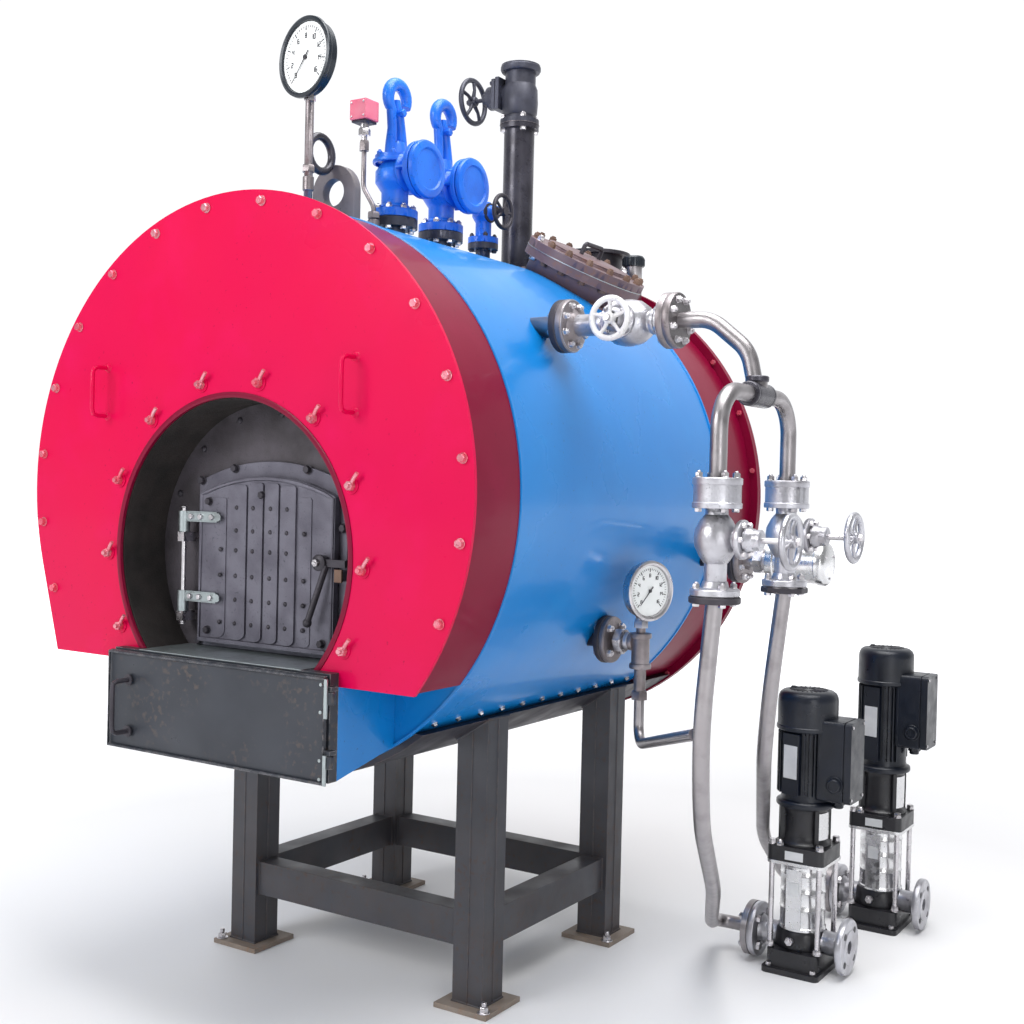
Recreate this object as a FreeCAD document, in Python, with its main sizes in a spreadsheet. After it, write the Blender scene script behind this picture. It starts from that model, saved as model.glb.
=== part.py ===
"""A small horizontal fire-tube steam boiler for solid fuel, with its two feed pumps.

Millimetres.  The boiler's axis lies along Y and its front faces -Y.  Positions are given
from the boiler's own axis (x = 0), the front of its cover (y = 0) and the floor (z = 0);
place() then moves them so that the origin is the middle of the floor under the whole set.
"""
import FreeCAD, Part
import math
import os
import re

V = FreeCAD.Vector

# Driving dimensions: alias, value.
DIMS = {
    # where the axis and front stand in the finished part's frame
    "middle_x": 267, "middle_y": 823,
    # shell
    "axis_z": 1195, "shell_rad": 632, "shell_wall": 12, "front_y": 190, "rear_y": 1171,
    "belly_rad": 650, "belly_angle": 76, "plate_thick": 14,
    # front smokebox and cover
    "wrap_wall": 6, "cover_rad": 648, "cover_thick": 8, "cut_z": 801,
    "skirt_foot": 560, "skirt_head": 622, "skirt_tall": 212,
    # furnace
    "tube_z": 1056, "tube_rad": 350, "tube_wall": 12, "mouth_y": 130, "sill_z": 830,
    # fire door
    "door_left": -195, "door_right": 215, "door_low": 845, "door_top": 1229,
    "door_rise_rad": 521, "door_y": 100, "door_thick": 18, "hinge_x": -236, "hinge_y": 95,
    # ash door
    "ash_half": 322, "ash_low": 605, "ash_door_y": -38, "ash_thick": 8, "ash_rise": 43,
    # rear
    "rear_flange_rad": 655, "rear_end_y": 1414, "rear_thick": 12,
    # stand
    "leg_x": 358, "leg_front_y": 481, "leg_rear_y": 1068, "leg_side": 85, "foot_side": 147,
    "foot_thick": 12, "beam_top": 224, "beam_tall": 85, "beam_wide": 60, "anchor_rad": 9,
    # top fittings
    "gauge_y": 235, "gauge_z": 2193, "gauge_rad": 88, "lug_y": 335, "lug_wide": 130,
    "lug_thick": 25, "lug_eye_rad": 32, "lug_eye_z": 1905, "switch_y": 500, "valve_one_y": 558,
    "valve_two_y": 757, "vent_y": 957, "safety_flange_rad": 59, "outlet_z": 2000,
    "riser_y": 1130, "riser_rad": 44, "riser_top": 2260, "steam_flange_rad": 56,
    "steam_top": 2432, "steam_spindle_z": 2352,
    "manhole_y": 985, "manhole_tilt": 27, "manhole_rad": 165,
    "flue_x": 168, "flue_y": 1285, "flue_rad": 84, "flue_top": 1902,
    # feed line
    "feed_y": 449, "feed_z": 1576, "header_x": 1028, "header_half": 183, "header_top": 1416,
    "pipe_rad": 17, "feed_flange_rad": 57, "column_top": 1245, "column_low": 1018,
    "column_flange_rad": 46, "wheel_rad": 48, "wheel_reach": 150,
    # lower right fittings
    "nozzle_y": 676, "nozzle_z": 862, "tee_x": 664, "level_y": 1130, "level_z": 1042,
    # pumps
    "pump_one_x": 895, "pump_one_y": 1176, "pump_two_x": 955, "pump_two_y": 1640,
    "pump_base_x": 150, "pump_base_y": 188, "port_z": 75, "port_reach": 125,
    "port_flange_rad": 70, "port_bolt_rad": 50,
    "stool_one": 98, "stool_two": 118, "motor_one": 195, "motor_two": 246,
}
D = dict(DIMS)

doc = FreeCAD.newDocument("boiler")
sheet = doc.addObject("Spreadsheet::Sheet", "Dims")
for row, (alias, value) in enumerate(DIMS.items(), start=1):
    sheet.set(f"A{row}", alias)
    sheet.set(f"B{row}", str(value))
    sheet.setAlias(f"B{row}", alias)
doc.recompute()

ALIAS = re.compile(r"\b(" + "|".join(sorted(DIMS, key=len, reverse=True)) + r")\b")
RUN_CLEARANCE = 0.05  # radial clearance of a pin in its knuckle
nodes = []


def bound(value):
    """The value as an expression on the sheet's cells."""
    return ALIAS.sub(r"Dims.\1", str(value))


def size(obj, **props):
    for prop, value in props.items():
        obj.setExpression(prop, bound(value))
    return obj


DIRECTIONS = {"x": V(1, 0, 0), "-x": V(-1, 0, 0), "y": V(0, 1, 0), "-y": V(0, -1, 0),
              "z": V(0, 0, 1), "-z": V(0, 0, -1)}


def place(obj, at, axis="z"):
    """Puts obj's own origin at a point, with its Z along axis (a name or a vector)."""
    way = DIRECTIONS[axis] if isinstance(axis, str) else axis
    obj.Placement = FreeCAD.Placement(V(), FreeCAD.Rotation(V(0, 0, 1), way))
    shift = (" - middle_x", " - middle_y", "")
    for letter, value, less in zip("xyz", at, shift):
        obj.setExpression("Placement.Base." + letter, bound(f"({value}){less}"))
    return obj


def rod(rad, length, at, axis="z"):
    obj = doc.addObject("Part::Cylinder", "rod")
    return place(size(obj, Radius=rad, Height=length), at, axis)


def cone(low, high, length, at, axis="z"):
    obj = doc.addObject("Part::Cone", "cone")
    return place(size(obj, Radius1=low, Radius2=high, Height=length), at, axis)


def ball(rad, at):
    return place(size(doc.addObject("Part::Sphere", "ball"), Radius=rad), at)


def bulb(neck, rad, half, at, axis="z"):
    """A swelling on a pipe along axis: two cones either side of a short drum, 2 * half long."""
    way = DIRECTIONS[axis]

    def off(distance):
        return [f"({a}) + ({distance * w:g})" for a, w in zip(at, way)]

    band = half / 3
    swell = half - band
    return fuse(cone(neck, rad, swell, off(-half), axis), rod(rad, 2 * band, off(-band), axis),
                cone(rad, neck, swell, off(band), axis))


def ring(rad, thick, at, axis="z"):
    obj = doc.addObject("Part::Torus", "ring")
    return place(size(obj, Radius1=rad, Radius2=thick), at, axis)


def block(low, high):
    """A box from its low corner to its high corner."""
    obj = doc.addObject("Part::Box", "block")
    spans = [f"({b}) - ({a})" for a, b in zip(low, high)]
    return place(size(obj, Length=spans[0], Width=spans[1], Height=spans[2]), low)


def fuse(*parts):
    obj = doc.addObject("Part::MultiFuse", "fusion")
    obj.Shapes = list(parts)
    return obj


def common(*parts):
    obj = doc.addObject("Part::MultiCommon", "common")
    obj.Shapes = list(parts)
    return obj


def cut(base, *tools):
    obj = doc.addObject("Part::Cut", "cut")
    obj.Base = base
    obj.Tool = tools[0] if len(tools) == 1 else fuse(*tools)
    return obj


def group(*parts):
    """Separate like pieces that share one node."""
    obj = doc.addObject("Part::Compound", "group")
    obj.Links = list(parts)
    return obj


def node(label, obj):
    obj.Label = label
    nodes.append(obj)
    return obj


def tube(rad, wall, length, at, axis="y"):
    inner = rod(f"({rad}) - ({wall})", length, at, axis)
    return cut(rod(rad, length, at, axis), inner)


def point(x, y, z):
    return V(x - D["middle_x"], y - D["middle_y"], z)


def pipe(points, rad, bends):
    """A round pipe along straight runs joined by tangent arcs of the given bend radii."""
    points = [point(*p) for p in points]
    edges = []
    start = points[0]
    for before, corner, after, bend in zip(points, points[1:], points[2:], bends):
        back = V(before - corner).normalize()
        ahead = V(after - corner).normalize()
        half = back.getAngle(ahead) / 2
        room = 0.46 * min((before - corner).Length, (after - corner).Length)
        bend = min(bend, room * math.tan(half))
        reach = bend / math.tan(half)
        middle = (back + ahead).normalize()
        centre = corner + middle * (bend / math.sin(half))
        first, last = corner + back * reach, corner + ahead * reach
        edges.append(Part.LineSegment(start, first).toShape())
        edges.append(Part.Arc(first, centre - middle * bend, last).toShape())
        start = last
    edges.append(Part.LineSegment(start, points[-1]).toShape())
    spine = doc.addObject("Part::Feature", "spine")
    spine.Shape = Part.Wire(edges)
    section = size(doc.addObject("Part::Circle", "section"), Radius=rad)
    turn = FreeCAD.Rotation(V(0, 0, 1), points[1] - points[0])
    section.Placement = FreeCAD.Placement(points[0], turn)
    sweep = doc.addObject("Part::Sweep", "pipe")
    sweep.Sections = [section]
    sweep.Spine = (spine, [f"Edge{i + 1}" for i in range(len(edges))])
    sweep.Solid = True
    return sweep


def bolt_circle(count, rad, hole, thick, at, axis="z", start=0.0):
    """Plain holes round a flange's axis, as one tool."""
    way = DIRECTIONS[axis] if isinstance(axis, str) else axis
    turn = FreeCAD.Rotation(V(0, 0, 1), way)
    holes = []
    for i in range(count):
        angle = math.radians(start) + 2 * math.pi * i / count
        off = turn.multVec(V(rad * math.cos(angle), rad * math.sin(angle), 0))
        where = [f"({a}) + {d:.6f}" for a, d in zip(at, off)]
        holes.append(rod(hole, thick, where, axis))
    return fuse(*holes)


def handwheel(rad, at, axis, stem, spokes=5):
    """A spoked handwheel with its stem, which turns on its own axis."""
    way = DIRECTIONS[axis]
    turn = FreeCAD.Rotation(V(0, 0, 1), way)
    parts = [ring(rad, 6, at, axis)]
    hub_at = [f"({a}) - ({11 * w})" for a, w in zip(at, way)]
    parts.append(rod(12, 22, hub_at, axis))
    stem_at = [f"({a}) - ({stem * w})" for a, w in zip(at, way)]
    parts.append(rod(6, stem, stem_at, axis))
    for i in range(spokes):
        angle = 2 * math.pi * (i + 0.25) / spokes
        spoke = turn.multVec(V(math.cos(angle), math.sin(angle), 0))
        parts.append(rod(4, rad, at, spoke))
    return fuse(*parts)


def shell_form(rad="shell_rad"):
    """The round space that the shell fills, for trimming what stands on it."""
    return rod(rad, "rear_end_y", (0, 0, "axis_z"), "y")


# ---------------------------------------------------------------- shell and its ends
def make_shell():
    length = "rear_y - front_y"
    node("boiler_shell", tube("shell_rad", "shell_wall", length, (0, "front_y", "axis_z")))
    plate_rad = "shell_rad - shell_wall"
    front = cut(rod(plate_rad, "plate_thick", (0, "front_y", "axis_z"), "y"),
                rod("tube_rad", "plate_thick", (0, "front_y", "tube_z"), "y"))
    rear_at = (0, "rear_y - plate_thick", "axis_z")
    rear = rod(plate_rad, "plate_thick", rear_at, "y")
    node("tube_plates", group(front, rear))
    belly = rod("belly_rad", "rear_end_y - front_y - 24", (0, "front_y", "axis_z"), "y")
    half = D["belly_angle"] / 2
    side = D["belly_rad"] * math.sin(math.radians(half))
    low = (-side, "front_y", "axis_z - belly_rad")
    high = (side, "rear_end_y", f"axis_z - belly_rad * {math.cos(math.radians(half)):.6f}")
    node("belly_plate", cut(common(belly, block(low, high)), shell_form()))


def make_front():
    wrap = tube("shell_rad", "wrap_wall", "front_y - cover_thick",
                (0, "cover_thick", "axis_z"))
    below = block(("-cover_rad", 0, 0), ("cover_rad", "front_y", "cut_z"))
    node("front_wrapper", cut(wrap, below))
    cover = fuse(rod("cover_rad", "cover_thick", (0, 0, "axis_z"), "y"), skirt())
    arch = rod("tube_rad", "cover_thick", (0, 0, "tube_z"), "y")
    foot = block(("-cover_rad", 0, 0), ("cover_rad", "cover_thick", "cut_z"))
    node("front_cover", cut(cover, arch, foot))
    handles = [bow_handle(x, "0", 1360, 1472) for x in (-395, 350)]
    node("cover_handles", group(*handles))


def skirt():
    """The cover's straight left flank, which leaves its circle and meets the floor of the cut."""
    obj = doc.addObject("Part::Wedge", "skirt")
    size(obj, Xmin="-skirt_foot", Xmax=0, Ymin=0, Ymax="skirt_tall", Zmin="-cover_thick",
         Zmax=0, X2min="-skirt_head", X2max=0, Z2min="-cover_thick", Z2max=0)
    return place(obj, (0, 0, "cut_z"), "-y")


def bow_handle(x, y, low, high, reach=45, rad=5):
    """A bent round bar: a vertical grip held off a face by two feet."""
    front = f"({y}) - {reach}"
    grip = rod(rad, high - low, (x, front, low))
    feet = [rod(rad, reach, (x, front, z), "y") for z in (low, high)]
    knees = [ball(rad, (x, front, z)) for z in (low, high)]
    return fuse(grip, *feet, *knees)


# ---------------------------------------------------------------- furnace and its doors
def arched(low_x, high_x, low_z, top_z, rise_rad, y, thick):
    """A plate with a flat bottom, straight sides and a low round top."""
    plate = block((low_x, y, low_z), (high_x, f"({y}) + ({thick})", top_z))
    middle = f"(({low_x}) + ({high_x})) / 2"
    arc = rod(rise_rad, thick, (middle, y, f"({top_z}) - ({rise_rad})"), "y")
    return common(plate, arc)


def fire_hole(y, thick):
    return arched("door_left + 35", "door_right - 35", "door_low + 25", "door_top - 34",
                  "door_rise_rad - 34", y, thick)


def make_furnace():
    length = "rear_y - plate_thick - cover_thick"
    node("furnace_tube", tube("tube_rad", "tube_wall", length, (0, "cover_thick", "tube_z")))
    plate = rod("tube_rad - tube_wall", 12, (0, "mouth_y", "tube_z"), "y")
    under = block(("-tube_rad", "mouth_y", 0), ("tube_rad", "mouth_y + 12", "sill_z"))
    node("mouth_plate", cut(plate, under, fire_hole("mouth_y", 12)))
    frame = arched("door_left - 20", "door_right + 20", "door_low - 13", "door_top + 33",
                   "door_rise_rad + 33", "mouth_y - 8", 8)
    keeper = block((238, "hinge_y - 12", 1008), (256, "mouth_y", 1031))
    keeper_root = block((225, "mouth_y - 8", 1008), (238, "mouth_y", 1031))
    node("door_frame", fuse(cut(frame, fire_hole("mouth_y - 8", 8)), keeper, keeper_root))
    bars = []
    for i in range(9):
        x = -192 + 48 * i
        bars.append(block((x - 12, 160, 800), (x + 12, 1100, 816)))
    bearers = [block((-212, y, 800), (212, y + 30, 816)) for y in (200, 620, 1040)]
    node("fire_grate", fuse(*bars, *bearers))


STRAPS = ((1120, 1144), (935, 959))  # low and high edge of each hinge strap
KNUCKLE = 24                         # length of a knuckle below its strap


def make_fire_door():
    slab = arched("door_left", "door_right", "door_low", "door_top", "door_rise_rad",
                  "door_y", "door_thick")
    spindle_hole = rod(6 + RUN_CLEARANCE, "door_thick", (190, "door_y", 1045), "y")
    node("fire_door", cut(slab, spindle_hole))
    straps = []
    for low, high in STRAPS:
        bar = block(("hinge_x + 8", "door_y - 8", low), ("hinge_x + 108", "door_y", high))
        eye = rod(13, high - low + KNUCKLE, ("hinge_x", "hinge_y", low - KNUCKLE))
        neck = block(("hinge_x", "door_y - 8", low), ("hinge_x + 12", "door_y", high))
        bore = rod(6 + RUN_CLEARANCE, high - low + KNUCKLE,
                   ("hinge_x", "hinge_y", low - KNUCKLE))
        straps.append(cut(fuse(bar, eye, neck), bore))
    node("fire_door_straps", group(*straps))
    pin = rod(6, 1150 - 885, ("hinge_x", "hinge_y", 885))
    seats = []
    for low, _ in STRAPS:
        top = low - KNUCKLE - 1
        seats.append(block(("hinge_x - 10", "hinge_y - 10", top - 22),
                           ("hinge_x + 10", "mouth_y", top)))
    node("fire_door_pin", fuse(pin, *seats))
    boss = rod(16, 14, (190, "door_y - 15", 1045), "y")
    spindle = rod(6, 16, (190, "door_y - 1", 1045), "y")
    arm = block((190, "door_y - 15", 1037), (260, "door_y - 5", 1053))
    grip_way = V(-40, -12, -126)
    grip = rod(7, grip_way.Length, (206, "door_y - 12", 1040), grip_way)
    knob = ball(10, (206 - 40, "door_y - 24", 1040 - 126))
    node("fire_door_latch", fuse(boss, spindle, arm, grip, knob))


def ramp(low):
    """The space under a floor that rises from the front to the shell's rim."""
    obj = doc.addObject("Part::Wedge", "ramp")
    size(obj, Xmin="-ash_half", Xmax="ash_half", Ymin=0, Ymax="ash_rise", Zmin="-front_y",
         Zmax=0, X2min="-ash_half", X2max="ash_half", Z2min="-front_y", Z2max="-front_y")
    return place(obj, (0, 0, low), "-y")


def make_ash_door():
    outer = block(("-ash_half", -26, "ash_low + 2"), ("ash_half", 0, "sill_z"))
    inner = block((-230, -26, 720), (230, 0, 802))
    pins = []
    for low in (640, 770):
        pin = rod(5, 36, ("ash_half + 9", "ash_door_y + 4", low))
        ear = block(("ash_half - 2", "ash_door_y + 4 - 6", low + 26 + 1),
                    ("ash_half + 15", -20, low + 36))
        pins += [pin, ear]
    shelf = block((-243, 0, "sill_z - 8"), (243, "mouth_y", "sill_z"))
    node("ash_frame", fuse(cut(outer, inner), shelf, *pins))
    casing = block(("-ash_half", 0, "ash_low + 2"), ("ash_half", "front_y", "cut_z"))
    hollow = block(("-ash_half + wrap_wall", 0, "ash_low + 2 + wrap_wall"),
                   ("ash_half - wrap_wall", "front_y", "cut_z"))
    under_floor = ramp("ash_low + 2")
    under_hollow = ramp("ash_low + 2 + wrap_wall")
    node("ash_box", cut(casing, cut(hollow, under_hollow), under_floor))
    panel = block(("-ash_half - 3", "ash_door_y", "ash_low"),
                  ("ash_half - 4", "ash_door_y + ash_thick", "sill_z - 4"))
    parts = [panel]
    bores = []
    for low in (640, 770):
        parts.append(rod(9, 25, ("ash_half + 9", "ash_door_y + 4", low)))
        parts.append(block(("ash_half - 8", "ash_door_y", low),
                           ("ash_half + 9", "ash_door_y + 6", low + 25)))
        bores.append(rod(5 + RUN_CLEARANCE, 25, ("ash_half + 9", "ash_door_y + 4", low)))
    node("ash_door", cut(fuse(*parts), *bores))
    node("ash_door_handle", bow_handle(-258, "ash_door_y", 646, 762))


# ---------------------------------------------------------------- rear end and stand
def make_rear():
    outer = fuse(rod("shell_rad", "rear_end_y - rear_thick - rear_y",
                     (0, "rear_y", "axis_z"), "y"),
                 rod("rear_flange_rad", "rear_thick",
                     (0, "rear_end_y - 2 * rear_thick", "axis_z"), "y"))
    inner = rod("shell_rad - 8", "rear_end_y - rear_thick - rear_y",
                (0, "rear_y", "axis_z"), "y")
    node("rear_smokebox", cut(outer, inner, flue_bore(1500)))
    cover_at = (0, "rear_end_y - rear_thick", "axis_z")
    node("rear_cover", rod("rear_flange_rad", "rear_thick", cover_at, "y"))


def make_stand():
    legs, feet, beams = [], [], []
    half = "leg_side / 2"
    for side in (-1, 1):
        x = f"leg_x * {side}"
        for y in ("leg_front_y", "leg_rear_y"):
            post = block((f"{x} - {half}", f"{y} - {half}", "foot_thick"),
                         (f"{x} + {half}", f"{y} + {half}", "axis_z"))
            legs.append(cut(post, shell_form("belly_rad")))
            pad = block((f"{x} - foot_side / 2", f"{y} - foot_side / 2", 0),
                        (f"{x} + foot_side / 2", f"{y} + foot_side / 2", "foot_thick"))
            anchor = rod("anchor_rad", "foot_thick", (f"{x} + {58 * side}", f"{y} - 58", 0))
            feet.append(cut(pad, anchor))
        inside = "leg_side / 2"
        beams.append(block((f"{x} - beam_wide / 2", f"leg_front_y + {inside}",
                            "beam_top - beam_tall"),
                           (f"{x} + beam_wide / 2", f"leg_rear_y - {inside}", "beam_top")))
    for y in ("leg_front_y", "leg_rear_y"):
        beams.append(block((f"-leg_x + {half}", f"{y} - beam_wide / 2",
                            "beam_top - beam_tall"),
                           (f"leg_x - {half}", f"{y} + beam_wide / 2", "beam_top")))
    node("legs", group(*legs))
    node("foot_plates", group(*feet))
    node("cross_beams", group(*beams))


# ---------------------------------------------------------------- fittings on the crown
def on_shell(obj):
    return cut(obj, shell_form())


def make_top_instruments():
    lug_low = "axis_z + shell_rad - 20"
    post = block(("-lug_wide / 2", "lug_y - lug_thick / 2", lug_low),
                 ("lug_wide / 2", "lug_y + lug_thick / 2", "lug_eye_z"))
    head = rod("lug_wide / 2", "lug_thick", (0, "lug_y - lug_thick / 2", "lug_eye_z"), "y")
    eye = rod("lug_eye_rad", "lug_thick", (0, "lug_y - lug_thick / 2", "lug_eye_z"), "y")
    node("lifting_lug", on_shell(cut(fuse(post, head), eye)))
    stem = rod(10, "gauge_z - gauge_rad - 1790", (0, "gauge_y", 1790))
    loop = ring(40, 8, (0, "gauge_y + 40", 1985), "x")
    gauge_pipe = on_shell(fuse(stem, loop))
    away = V(-math.sin(math.radians(10)), -math.cos(math.radians(10)), 0)
    case_at = (5, "gauge_y + 9", "gauge_z")
    case = rod("gauge_rad", 30, case_at, away)
    neck = rod(13, 30, (0, "gauge_y", "gauge_z - gauge_rad - 12"))
    node("pressure_gauge", cut(fuse(case, neck), rod(10, 40, (0, "gauge_y", 2080))))
    behind, above = D["switch_y"] - 24, D["switch_y"] - 30
    route = [(0, behind, 1800), (0, behind, 1900), (-30, above, 1950), (-30, above, 2060)]
    switch_pipe = on_shell(pipe(route, 6, (45, 45)))
    node("instrument_pipes", group(gauge_pipe, switch_pipe))
    box = block((-58, "switch_y - 56", 2112), (-6, "switch_y - 4", 2164))
    union = rod(11, 52, (-30, "switch_y - 30", 2060))
    node("pressure_switch", fuse(box, union))


def make_safety_valves():
    nozzles, bodies, covers, yokes = [], [], [], []
    rad = "safety_flange_rad"
    for y in ("valve_one_y", "valve_two_y"):
        stub = rod(28, 70, (0, y, 1795))
        flange = rod(rad, 22, (0, y, 1861))
        nozzles.append(on_shell(fuse(stub, flange)))
        foot = rod(rad, 20, (0, y, 1885))
        neck = rod(34, 60, (0, y, 1905))
        bowl = bulb(31, 50, 42, (0, y, 1988))
        bonnet = cone(34, 24, 60, (0, y, 2016))
        spout = rod(40, 76, (0, y, "outlet_z"), "x")
        rim = rod(70, 14, (76, y, "outlet_z"), "x")
        lid = rod(52, 14, (0, y, 2028))
        bodies.append(fuse(foot, neck, bowl, lid, bonnet, spout, rim))
        covers.append(rod(70, 16, (91, y, "outlet_z"), "x"))
        post = rod(20, 76, (0, y, 2077))
        hook = cut(ring(34, 13, (0, f"{y} + 4", 2188), "x"),
                   block((-20, f"{y} - 60", 2120), (20, f"{y} + 4", 2176)))
        yokes.append(fuse(post, hook))
    vent_stub = rod(20, 76, (0, "vent_y", 1800))
    vent_flange = rod(42, 16, (0, "vent_y", 1874))
    nozzles.append(on_shell(fuse(vent_stub, vent_flange)))
    node("crown_nozzles", group(*nozzles))
    node("safety_valve_bodies", group(*bodies))
    node("safety_outlet_covers", group(*covers))
    node("safety_valve_yokes", group(*yokes))
    foot = rod(42, 16, (0, "vent_y", 1891))
    neck = rod(22, 60, (0, "vent_y", 1905))
    bowl = bulb(20, 32, 30, (0, "vent_y", 1975))
    bonnet = rod(18, 44, (0, "vent_y", 1975), "x")
    bore = rod(6 + RUN_CLEARANCE, 20, (25, "vent_y", 1975), "x")
    node("vent_valve", cut(fuse(foot, neck, bowl, bonnet), bore))
    node("vent_wheel", handwheel(44, (64, "vent_y", 1975), "x", 34))


def make_steam_outlet():
    rad = "steam_flange_rad"
    collar = rod(62, 40, (0, "riser_y", 1800))
    riser = rod("riser_rad", "riser_top - 1800", (0, "riser_y", 1800))
    flange = rod(rad, 14, (0, "riser_y", "riser_top - 14"))
    node("steam_riser", on_shell(fuse(collar, riser, flange)))
    foot = rod(rad, 14, (0, "riser_y", "riser_top + 1"))
    barrel = rod(44, "steam_top - riser_top - 1", (0, "riser_y", "riser_top + 1"))
    top = rod(rad, 16, (0, "riser_y", "steam_top - 16"))
    bonnet = rod(34, 102, (0, "riser_y", "steam_spindle_z"), "-x")
    gland = rod(18, 122, (0, "riser_y", "steam_spindle_z"), "-x")
    passage = rod(26, "steam_top - riser_top", (0, "riser_y", "riser_top + 1"))
    bore = rod(6 + RUN_CLEARANCE, 30, (-122, "riser_y", "steam_spindle_z"), "x")
    holes = bolt_circle(4, 45, 6, 16, (0, "riser_y", "steam_top - 16"), start=45)
    body = cut(fuse(foot, barrel, top, bonnet, gland), passage, holes, bore)
    node("steam_valve", body)
    node("steam_wheel", handwheel(64, (-160, "riser_y", "steam_spindle_z"), "-x", 62))


def make_manhole():
    tilt = math.radians(D["manhole_tilt"])
    way = V(math.sin(tilt), 0, math.cos(tilt))

    def along(distance):
        x, z = distance * way.x, distance * way.z
        return (f"{x:.6f}", "manhole_y", f"axis_z + {z:.6f}")

    neck = rod("manhole_rad - 20", 90, along(590), way)
    flange = rod("manhole_rad", 22, along(664), way)
    hollow = rod("manhole_rad - 45", 120, along(580), way)
    node("manhole_ring", on_shell(cut(fuse(neck, flange), hollow)))
    lid = rod("manhole_rad", 20, along(687), way)
    crown = rod("manhole_rad - 50", 10, along(706), way)
    node("manhole_cover", fuse(lid, crown))


def flue_bore(low):
    return rod("flue_rad - 6", f"flue_top - {low}", ("flue_x", "flue_y", low))


def make_flue():
    stack = rod("flue_rad", "flue_top - 1720", ("flue_x", "flue_y", 1720))
    flange_at = ("flue_x", "flue_y", "flue_top - 10")
    flange = rod("flue_rad + 23", 10, flange_at)
    holes = bolt_circle(8, 96, 5, 10, flange_at, start=22.5)
    node("flue_collar", on_shell(cut(fuse(stack, flange), flue_bore(1720), holes)))
    neck = rod(25, 180, (303, "flue_y - 5", 1690))
    cap = rod(27, 24, (303, "flue_y - 5", 1856))
    node("capped_nozzle", on_shell(fuse(neck, cap)))


# ---------------------------------------------------------------- feed line
def make_feed_line():
    rad = "feed_flange_rad"
    stub = rod(24, 90, (480, "feed_y", "feed_z"), "x")
    flange = rod(rad, 16, (562, "feed_y", "feed_z"), "x")
    node("feed_nozzle", on_shell(fuse(stub, flange)))
    mate = rod(rad, 16, (579, "feed_y", "feed_z"), "x")
    barrel = rod(24, 230, (590, "feed_y", "feed_z"), "x")
    bowl = bulb(22, 44, 45, (732, "feed_y", "feed_z"), "x")
    far = rod(rad, 16, (820, "feed_y", "feed_z"), "x")
    bonnet = rod(24, 66, (732, "feed_y", "feed_z"), "-y")
    bore = rod(6 + RUN_CLEARANCE, 24, (732, "feed_y - 66", "feed_z"), "y")
    node("feed_valve", cut(fuse(mate, barrel, bowl, far, bonnet), bore))
    node("feed_wheel", handwheel(42, (732, "feed_y - 88", "feed_z"), "-y", 44))
    header = D["header_x"]
    top, half, feed_y, feed_z = (D["header_top"], D["header_half"], D["feed_y"], D["feed_z"])
    end_flange = rod(rad, 16, (837, "feed_y", "feed_z"), "x")
    bend = pipe([(845, feed_y, feed_z), (925, feed_y, feed_z - 2), (1008, feed_y, feed_z - 70),
                 (header, feed_y, top)], "pipe_rad", (80, 80))
    low = D["column_top"]
    arms = pipe([(header, feed_y - half, low), (header, feed_y - half, top),
                 (header, feed_y + half, top), (header, feed_y + half, low)],
                "pipe_rad", (130, 130))
    feet = [rod("column_flange_rad", 12, ("header_x", y, "column_top - 12"))
            for y in (feed_y - half, feed_y + half)]
    ends = [rod("pipe_rad + 3", 20, ("header_x", y, "column_top - 12"))
            for y in (feed_y - half, feed_y + half)]
    tee = rod("pipe_rad + 6", 70, ("header_x", "feed_y - 35", "header_top"), "y")
    collar = rod("pipe_rad + 4", 34, ("header_x", "feed_y", "header_top"))
    node("feed_header", fuse(end_flange, bend, arms, *feet, *ends, tee, collar))
    valves = []
    for name, y in (("front", feed_y - half), ("rear", feed_y + half)):
        low_z = "column_low"
        wafer = rod("column_flange_rad", 46, ("header_x", y, "column_top - 59"))
        trunk = rod(22, "column_top - 20 - column_low", ("header_x", y, "column_low"))
        bowl = bulb(20, 38, 40, ("header_x", y, 1128))
        bonnet = rod(20, 92, ("header_x", y, 1128), "x")
        low_flange = rod("column_flange_rad", 14, ("header_x", y, low_z))
        bore = rod(6 + RUN_CLEARANCE, 40, ("header_x + 60", y, 1128), "x")
        valves.append(cut(fuse(wafer, trunk, bowl, bonnet, low_flange), bore))
        wheel_at = ("header_x + wheel_reach", y, 1128)
        node(name + "_column_wheel", handwheel(D["wheel_rad"], wheel_at, "x", 80))
    node("column_valves", group(*valves))
    make_feed_pipes(header, feed_y - half, feed_y + half)


def make_feed_pipes(header, front, rear):
    top = D["column_low"] - 1
    reach = D["port_reach"]
    port = D["port_z"]
    one_x, one_y = D["pump_one_x"] - reach, D["pump_one_y"]
    two_x, two_y = D["pump_two_x"] - reach, D["pump_two_y"]
    first = [(header, front, top - 6), (1006, front + 2, 760), (985, front + 60, 560),
             (880, 640, 330), (715, 1010, 125), (660, one_y, port), (one_x - 17, one_y, port)]
    second = [(header, rear, top - 6), (1000, rear + 10, 800), (965, rear + 70, 640),
              (780, 1180, 318), (745, 1440, 150), (720, two_y, port), (two_x - 17, two_y, port)]
    pipes = []
    for route, y in ((first, front), (second, rear)):
        line = pipe(route, "pipe_rad", (600, 300, 900, 500, 80))
        flange = rod("column_flange_rad", 12, ("header_x", y, "column_low - 13"))
        end = route[-1]
        port_flange = rod("port_flange_rad", 16, (end[0], end[1], end[2]), "x")
        pipes.append(fuse(line, flange, port_flange))
    node("feed_pipes", group(*pipes))
    drop = pipe([(D["tee_x"], D["nozzle_y"], 730), (D["tee_x"], D["nozzle_y"], 622),
                 (1006 - 24, front + 25, 742)], 12, (45,))
    node("branch_pipe", drop)


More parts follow.
